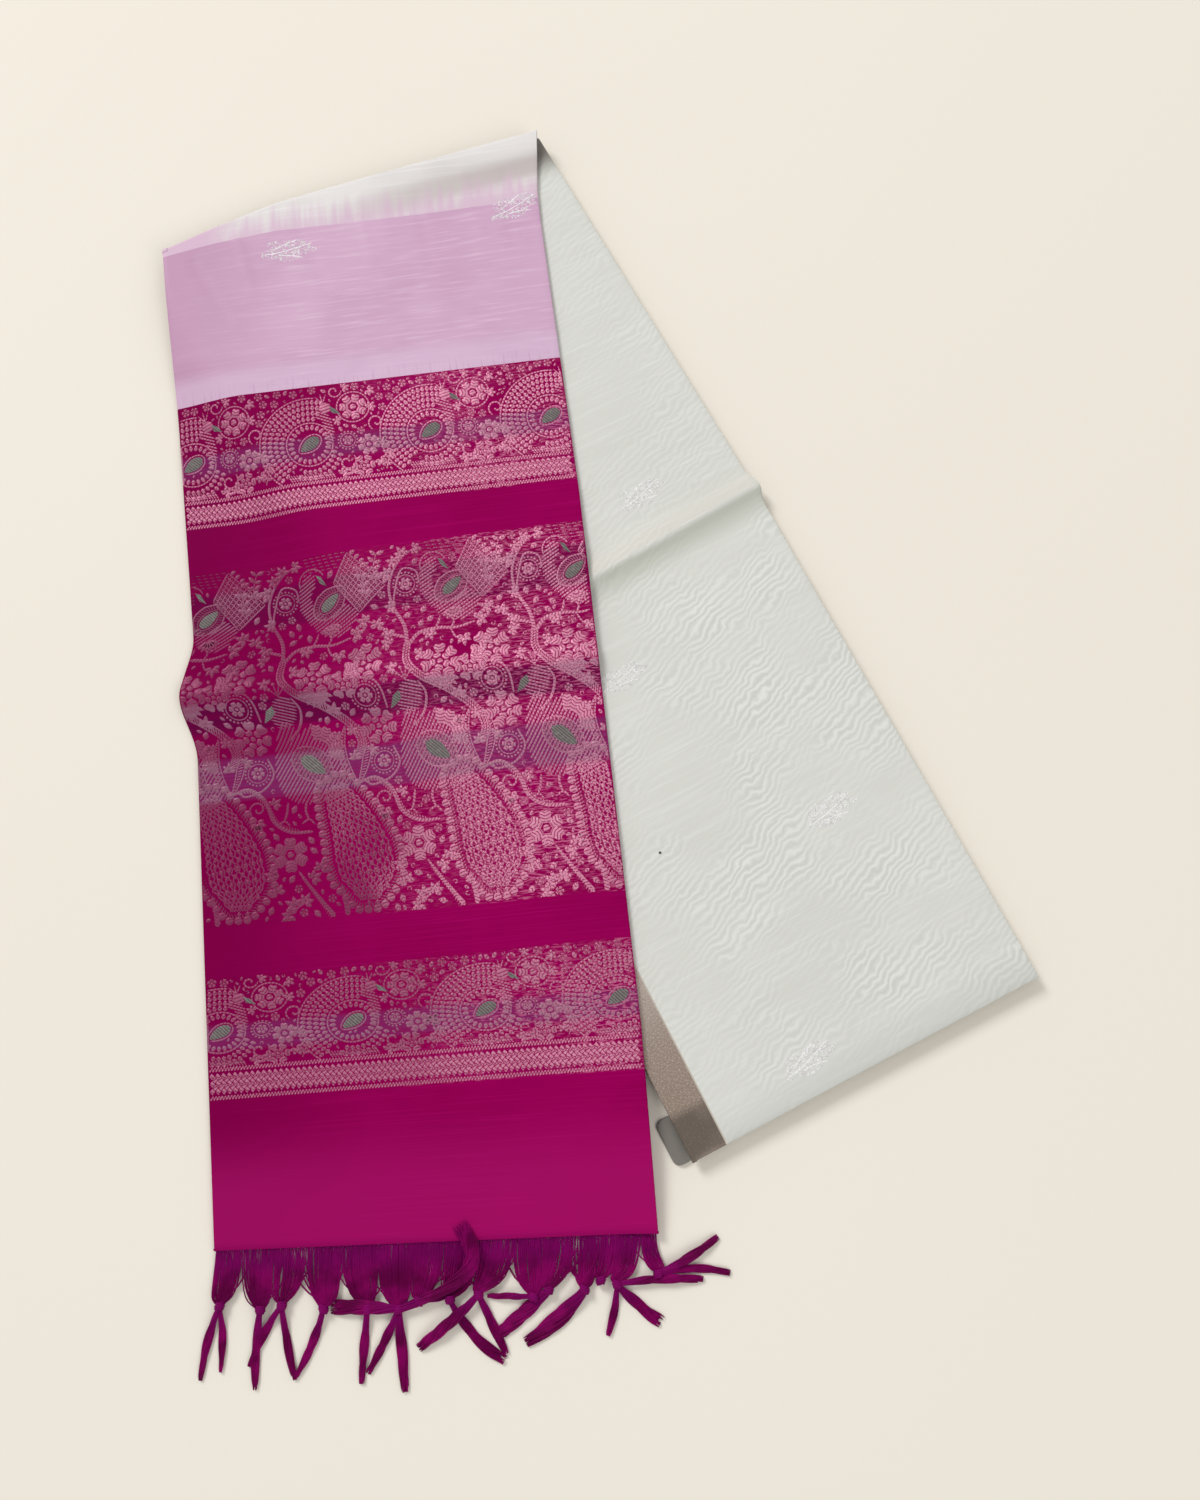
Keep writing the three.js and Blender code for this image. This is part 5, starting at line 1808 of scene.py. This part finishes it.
def mint_cloth():
    material, tree, shader, uv = start_material("Mint silk cotton")
    colour = yarn_colour(tree, uv, tint(212, 213, 207), tint(216, 217, 211), tint(223, 224, 219),
                         14.0, 400.0)[0]
    # the watered figure, weaker above the crease and beside the border
    moire = use(tree, GROUPS["moire"], {"Cloth": uv})
    figure = plus(tree, moire["Figure"], 0.5)
    parts = apart(tree, uv)
    clear = scaled(tree, between(tree, parts[1], 0.36, 0.43), 0.62, 0.38)
    inwards = scaled(tree, between(tree, parts[0], 0.03, 0.12), 0.5, 0.5)
    clear = times(tree, clear, inwards)
    colour = lay_over(tree, colour, tint(228, 229, 224), between(tree, figure, 0.5, 1.1), clear)
    colour = lay_over(tree, colour, tint(204, 206, 200), between(tree, figure, 0.5, -0.1), clear)
    # painted shade under the crease, one dark fibre, and warm painted light on the crease's upper side
    past = plus(tree, parts[1], scaled(tree, parts[0], *BODY_CREASE_LINE))
    over = times(tree, between(tree, past, 0.0, 0.004), between(tree, past, 0.026, 0.008))
    painted_lighting = times(tree, over, between(tree, parts[0], 0.09, 0.14))
    colour = lay_over(tree, colour, tint(178, 181, 168), painted_lighting, 0.65)
    ends = {0: object_place(tree), 1: tuple(to_frame(*DARK_SPECK))}
    speck = place(tree, "ShaderNodeVectorMath", ends, operation="DISTANCE").outputs["Value"]
    colour = blend(tree, between(tree, speck, 0.0014, 0.0007), colour, tint(70, 66, 62))
    above = times(tree, between(tree, past, -0.022, -0.006), between(tree, past, 0.002, -0.003))
    colour = lay_over(tree, colour, tint(214, 205, 192), above, 0.3)
    # painted shade at the bottom fold, and painted shadow under the top fold's loop
    colour = lay_over(tree, colour, tint(190, 193, 187), between(tree, parts[1], 0.742, 0.772), 0.5)
    colour = lay_over(tree, colour, tint(100, 90, 82), between(tree, parts[1], 0.084, 0.058), 0.85)
    set_finish(tree, shader, colour, 0.5, 0.12)
    height = plus(tree, times(tree, moire["Figure"], 0.03), times(tree, moire["Lines"], 0.6))
    weave = use(tree, GROUPS["weave"], {"Cloth": uv})
    height = plus(tree, height, times(tree, weave["Height"], 0.25))
    bump(tree, shader, height, 0.35, 0.14)
    return material


def cream_cloth():
    material, tree, shader, uv = start_material("Cream end with lilac warps")
    colour, yarn = yarn_colour(tree, uv, tint(217, 213, 211), tint(227, 223, 222), tint(234, 231, 231),
                               12.0, 300.0)
    parts = apart(tree, uv)
    # painted shade in a band below the fold, none at the left and strongest at the right
    from_fold = scaled(tree, parts[0], 0.148, parts[1])
    shade = times(tree, between(tree, from_fold, 0.006, 0.018), between(tree, from_fold, 0.036, 0.024))
    shade = times(tree, shade, between(tree, parts[0], 0.10, 0.20))
    right = between(tree, parts[0], 0.18, 0.27)
    shade = times(tree, shade, scaled(tree, right, 0.3, 0.7))
    colour = blend(tree, shade, colour, tint(196, 187, 185))
    # spikes of lilac dye that reach up into the cream
    to_go = minus(tree, PALLU_ROWS["cream_end"][0] * MM, parts[1])
    spikes = use(tree, GROUPS["grain"], {"Cloth": uv, "Across": 130.0, "Along": 10.0})["Grain"]
    reach = times(tree, between(tree, spikes, 0.2, 0.8), 0.02)
    reach = scaled(tree, right, 0.007, reach)
    dyed = between(tree, minus(tree, reach, to_go), -0.012, 0.014)
    corner = between(tree, parts[0], 0.07, 0.03)
    mask = calc(tree, "MAXIMUM", times(tree, dyed, 0.75), times(tree, corner, 0.9))
    colour = blend(tree, mask, colour, tint(212, 176, 202))
    set_finish(tree, shader, colour, 0.5, 0.12)
    weave_bump(tree, shader, uv, yarn, 0.2)
    return material


def lilac_cloth():
    material, tree, shader, uv = start_material("Lilac silk cotton")
    colour, yarn = yarn_colour(tree, uv, tint(200, 159, 189), tint(210, 171, 199), tint(219, 184, 209),
                               24.0, 430.0)
    parts = apart(tree, uv)
    end = PALLU_ROWS["lilac_end"][0] * MM
    colour = painted_left_shade(tree, uv, colour, tint(188, 142, 174), 0.11, 0.8)
    # paler before the band, with dark hairs along it
    pale = between(tree, parts[1], end - 0.026, end - 0.012)
    colour = lay_over(tree, colour, tint(214, 188, 214), pale, 0.5)
    hairs = use(tree, GROUPS["grain"], {"Cloth": uv, "Across": 420.0, "Along": 40.0})["Grain"]
    close = times(tree, between(tree, parts[1], end - 0.012, end), 0.5)
    colour = lay_over(tree, colour, tint(176, 116, 160), close, between(tree, hairs, 0.5, 0.75))
    set_finish(tree, shader, colour, 0.48, 0.12)
    weave_bump(tree, shader, uv, yarn, 0.2)
    return material


def magenta_silk():
    material, tree, shader, uv = start_material("Magenta silk")
    colour, yarn = yarn_colour(tree, uv, tint(140, 0, 77), tint(150, 1, 84), tint(159, 6, 94), 8.0, 700.0)
    colour = painted_left_shade(tree, uv, colour, tint(120, 0, 66), 0.15, 0.85)
    parts = apart(tree, uv)
    end = PALLU_ROWS["cloth_end"][0] * MM
    # brighter on the last stretch, darker where the fringe begins
    low = between(tree, parts[1], end - 0.085, end - 0.03)
    colour = lay_over(tree, colour, tint(168, 20, 104), low, 0.6)
    web = between(tree, parts[1], end - 0.006, end + 0.002)
    colour = lay_over(tree, colour, tint(118, 2, 78), web, 0.5)
    set_finish(tree, shader, colour, 0.45, level=SILK_SHINE)
    weave_bump(tree, shader, uv, yarn, 0.14)
    return material


def zari_border_weave():
    material, tree, shader, uv = start_material("Gold zari border")
    parts = apart(tree, uv)
    specks = speckle(tree, uv, 880.0, 2.0)
    broad = speckle(tree, uv, 22.0, 2.0)
    # painted shade: browner and darker towards the bottom fold, and a painted shadow on the fold itself
    down = between(tree, parts[1], 0.62, 0.715)
    low = between(tree, parts[1], 0.732, 0.741)
    colour = blend(tree, down, tint(203, 190, 181), tint(155, 138, 126))
    colour = blend(tree, low, colour, tint(108, 98, 88))
    colour = lay_over(tree, colour, tint(168, 150, 142), between(tree, broad, 0.45, 0.7), 0.35)
    # bright specks are painted glints, fewer in the painted shadow on the fold
    painted_lighting = scaled(tree, low, -0.4, 0.5)
    colour = lay_over(tree, colour, tint(122, 106, 96), between(tree, specks, 0.48, 0.34), 0.35)
    colour = lay_over(tree, colour, tint(210, 190, 176), between(tree, specks, 0.52, 0.66), painted_lighting)
    # the pale line between border and mint
    line = between(tree, parts[0], 0.0246, 0.0253)
    colour = blend(tree, line, colour, tint(206, 198, 186))
    set_finish(tree, shader, colour, 0.42, metallic=0.45, level=0.35)
    twill = waves(tree, times(tree, plus(tree, parts[0], parts[1]), BORDER_TWILL))
    bump(tree, shader, plus(tree, times(tree, twill, 0.3), specks), 0.45, 0.15)
    return material


def layered_cloth(name, dark, light):
    material, tree, shader = new_material(name)
    edges = use(tree, GROUPS["layers"], {"Place": object_place(tree), "Dark": dark, "Light": light})
    set_finish(tree, shader, edges["Colour"], 0.65, 0.1)
    bump(tree, shader, edges["Height"], 0.4, 0.15)
    return material


def fringe_yarn():
    material, tree, shader, uv = start_material("Twisted fringe yarn")
    tone = speckle(tree, object_place(tree), 70.0, 3.0)
    parts = apart(tree, uv)
    twist = waves(tree, times(tree, plus(tree, parts[0], parts[1]), FRINGE_TWIST))
    colour = blend(tree, between(tree, tone, 0.35, 0.7), tint(96, 1, 62), tint(140, 4, 96))
    root = between(tree, parts[1], 0.022, 0.006)
    colour = lay_over(tree, colour, tint(128, 4, 100), root, 0.6)
    # lighter bands along the twist: painted highlight
    colour = lay_over(tree, colour, tint(152, 30, 124), between(tree, twist, 0.2, 1.0), 0.2)
    set_finish(tree, shader, colour, 0.5, level=0.05)
    bump(tree, shader, twist, 0.4, 0.1)
    return material


# painted shade towards the cloth's left edge
def painted_left_shade(tree, uv, colour, dull, reach, amount):
    return use(tree, GROUPS["left"], {"Cloth": uv, "Colour": colour, "Dull": dull, "Reach": reach,
                                      "Amount": amount})["Colour"]


def striped(tree, uv, start, stripes, colour, dark, violet, strength):
    """Stripes of a second weft. stripes: millimetres down the band, weight, violet or not."""
    for low, high, weight, is_violet in stripes:
        colour = use(tree, GROUPS["stripe"], {
            "Cloth": uv, "Colour": colour, "Stripe": violet if is_violet else dark,
            "From": (PALLU_ROWS[start][0] + low) * MM, "To": (PALLU_ROWS[start][0] + high) * MM,
            "Weight": weight * strength})["Colour"]
    return colour


def band_ground(name, start, stripes):
    """Magenta silk with stripes of a second, greyer weft, and loose flecks of zari."""
    material, tree, shader, uv = start_material(name)
    colour, yarn = yarn_colour(tree, uv, tint(134, 0, 71), tint(146, 1, 81), tint(156, 6, 93), 8.0, 700.0)
    colour = painted_left_shade(tree, uv, colour, tint(118, 0, 64), 0.15, 0.85)
    colour = striped(tree, uv, start, stripes, colour, tint(84, 8, 58), tint(122, 40, 98), 1.0)
    colour = use(tree, GROUPS["flecks"], {"Cloth": uv, "Colour": colour, "Fleck": tint(204, 112, 150)})
    set_finish(tree, shader, colour["Colour"], 0.5, level=SILK_SHINE)
    weave_bump(tree, shader, uv, yarn, 0.14)
    return material


def zari_weft(name, start, stripes, dim, depth, bright=9000.0):
    """Rose zari of one band: how much painted shade dulls it all over and at the left, and how far down it
    turns bright.
    """
    material, tree, shader, uv = start_material(name)
    sewn = cloth_map(tree, "stitch")
    thread = use(tree, GROUPS["zari"], {"Cloth": uv, "Stitch": sewn, "Dim": dim, "Depth": depth,
                                        "Bright from": (PALLU_ROWS[start][0] + bright) * MM})
    stripe = tint(150, 108, 130)
    colour = striped(tree, uv, start, stripes, thread["Colour"], stripe, stripe, 0.75)
    set_finish(tree, shader, colour, 0.42, metallic=0.15, level=0.2)
    bump(tree, shader, thread["Height"], 0.4, 0.1)
    return material


def meena_weft():
    """Grey-green silk of the wings and drops, in a fine twill."""
    material, tree, shader, uv = start_material("Grey green meena")
    parts = apart(tree, uv)
    twill = waves(tree, times(tree, minus(tree, parts[0], parts[1]), MEENA_TWILL))
    specks = speckle(tree, uv, 420.0, 2.0)
    colour = blend(tree, between(tree, twill, -0.7, 0.7), tint(96, 78, 84), tint(118, 120, 114))
    colour = lay_over(tree, colour, tint(142, 140, 136), between(tree, specks, 0.5, 0.7), 0.4)
    set_finish(tree, shader, colour, 0.55, level=0.08)
    bump(tree, shader, twill, 0.4, 0.1)
    return material


def silver_weft():
    material, tree, shader, uv = start_material("Silver zari")
    sewn = apart(tree, cloth_map(tree, "stitch"))
    specks = speckle(tree, uv, 700.0, 2.0)
    # the lighter specks are painted glints, and the grey floats painted shade
    colour = blend(tree, between(tree, specks, 0.35, 0.65), tint(230, 227, 229), tint(253, 252, 253))
    colour = blend(tree, between(tree, sewn[1], 0.9, 0.3), colour, tint(208, 203, 205))
    set_finish(tree, shader, colour, 0.32, level=0.55)
    bump(tree, shader, specks, 0.3, 0.1)
    return material


# ---- camera, light and floor ----
def table_floor():
    deselect()
    bpy.ops.mesh.primitive_plane_add(size=8)
    floor = bpy.context.object
    floor.name = "floor"
    material, tree, shader = new_material("Pale floor")
    clouds = speckle(tree, object_place(tree), 1.2, 1.0)
    colour = blend(tree, clouds, tint(236, 229, 217), tint(240, 234, 223))
    tree.links.new(colour, shader.inputs["Base Color"])
    shader.inputs["Roughness"].default_value = 0.9
    shader.inputs["Specular IOR Level"].default_value = 0.1
    floor.data.materials.append(material)


LAMPS = (
    # name, place, size and power
    ("key", (-3.9, 4.3, 4.6), 2.4, 310),
    ("fill", (3.8, -4.2, 4.2), 3.6, 105),
)
SKY_COLOUR = (1.0, 0.99, 0.97, 1)
SKY_LEVEL = 0.54
CAMERA_PLACE = (0, -182.96, 860.8)  # over the table, in millimetres
CAMERA_TILT = 12


def studio_light():
    world = bpy.context.scene.world or bpy.data.worlds.new("Studio")
    bpy.context.scene.world = world
    world.use_nodes = True
    sky = world.node_tree.nodes["Background"]
    sky.inputs[0].default_value = SKY_COLOUR
    sky.inputs[1].default_value = SKY_LEVEL
    for name, spot, size, power in LAMPS:
        light = bpy.data.lights.new(name, "AREA")
        light.size = size
        light.energy = power
        lamp = bpy.data.objects.new(name, light)
        bpy.context.collection.objects.link(lamp)
        lamp.location = spot
        x, y, z = spot
        lamp.rotation_euler = (math.atan2(math.hypot(x, y), z), 0, math.atan2(x, -y))
    bpy.context.scene.view_settings.view_transform = "Standard"


def table_camera():
    camera = bpy.data.objects.new("camera", bpy.data.cameras.new("camera"))
    bpy.context.collection.objects.link(camera)
    camera.location = tuple(to_frame(*CAMERA_PLACE))
    camera.rotation_euler = (math.radians(CAMERA_TILT), 0, 0)
    camera.data.lens = 30
    camera.data.sensor_width = 36
    camera.data.clip_end = 20
    bpy.context.scene.camera = camera


# ---- the saree ----
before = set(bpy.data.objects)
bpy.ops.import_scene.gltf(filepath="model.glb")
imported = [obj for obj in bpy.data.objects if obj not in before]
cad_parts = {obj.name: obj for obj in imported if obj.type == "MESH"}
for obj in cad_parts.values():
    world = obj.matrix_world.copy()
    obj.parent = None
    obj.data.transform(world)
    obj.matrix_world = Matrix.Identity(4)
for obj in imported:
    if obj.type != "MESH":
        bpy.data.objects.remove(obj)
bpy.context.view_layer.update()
SHIFT = frame_shift()
GROUPS = {
    "yarn": threads_group(), "weave": weave_group(), "moire": moire_group(), "grain": grain_group(),
    "left": left_shade_group(), "stripe": stripe_group(), "flecks": flecks_group(), "zari": zari_group(),
    "layers": layers_group(),
}

MINT = mint_cloth()
MAGENTA = magenta_silk()
BORDER = zari_border_weave()

# each band: where it starts, its stripes (from, to, weight and whether violet, down the band), how dull
# its zari is all over and at the left, how far down it turns bright, and its threads
BANDS = {
    "upper": ("lilac_end", ((41, 57, 0.8, True),), (-0.22, 0.66, 70), narrow_band(97, 74, 21)),
    "wide": ("plain_upper_end", ((18, 46, 0.6, False), (100, 119, 0.8, False), (140, 168, 0.9, True)),
             (0.02, 0.92), wide_band()),
    "lower": ("plain_lower_end", ((32, 47, 0.8, True),), (0.5, 0.72, 56), narrow_band(83, 60, 22)),
}
MEENA = meena_weft()
SILVER = silver_weft()
ground = {}
for band, (start, stripes, dullness, weft) in BANDS.items():
    ground[band] = band_ground(f"{band.title()} band ground", start, stripes)
    zari = zari_weft(f"Rose zari, {band} band", start, stripes, *dullness)
    weave_band(f"{band}_band", weft, start, f"band_{band}_end", zari, MEENA)
silver_sprays("lilac", SILVER)
silver_sprays("mint", SILVER)

PALLU_STRETCHES = (
    ("lilac_stretch", "cream_end", "lilac_end", lilac_cloth(), "lilac"),
    ("pallu_band_upper", "lilac_end", "band_upper_end", ground["upper"], "brocade"),
    ("pallu_plain_upper", "band_upper_end", "plain_upper_end", MAGENTA, "magenta"),
    ("pallu_band_wide", "plain_upper_end", "band_wide_end", ground["wide"], "brocade"),
    ("pallu_plain_lower", "band_wide_end", "plain_lower_end", MAGENTA, "magenta"),
    ("pallu_band_lower", "plain_lower_end", "band_lower_end", ground["lower"], "brocade"),
    ("pallu_plain_end", "band_lower_end", "cloth_end", MAGENTA, "magenta"),
)
BODY_STRETCHES = (
    ("body_upper_stretch", "fold", "crease", MINT, "mint_body", False, 4.0, False),
    ("body_lower_stretch", "crease", "bottom", MINT, "mint_body", False, 0.0, True),
    ("zari_border_upper", "fold", "crease", BORDER, "zari_border", True, 4.0, False),
    ("zari_border_lower", "crease", "bottom", BORDER, "zari_border", True, 0.0, True),
)

body_layers(layered_cloth("Body layer edges", tint(152, 150, 142), tint(206, 205, 198)))
pallu_layers(layered_cloth("Pallu layer edges", tint(92, 8, 58), tint(150, 40, 100)))
# the under layer's corner beside the border: mint cloth painted grey, as painted shadow
under_flap(layered_cloth("Corner in painted shadow", tint(126, 122, 116), tint(200, 196, 188)))
for name, start, end, material, slot_name, zari, skip, end_open in BODY_STRETCHES:
    piece, flat = body_stretch(name, start, end, material, zari, skip, end_open)
for name, start, end, material, slot_name in PALLU_STRETCHES:
    piece, flat = pallu_stretch(name, start, end, material, end == "cloth_end")
cream_stretch(cream_cloth())
fringe(fringe_yarn())

table_floor()
studio_light()
table_camera()
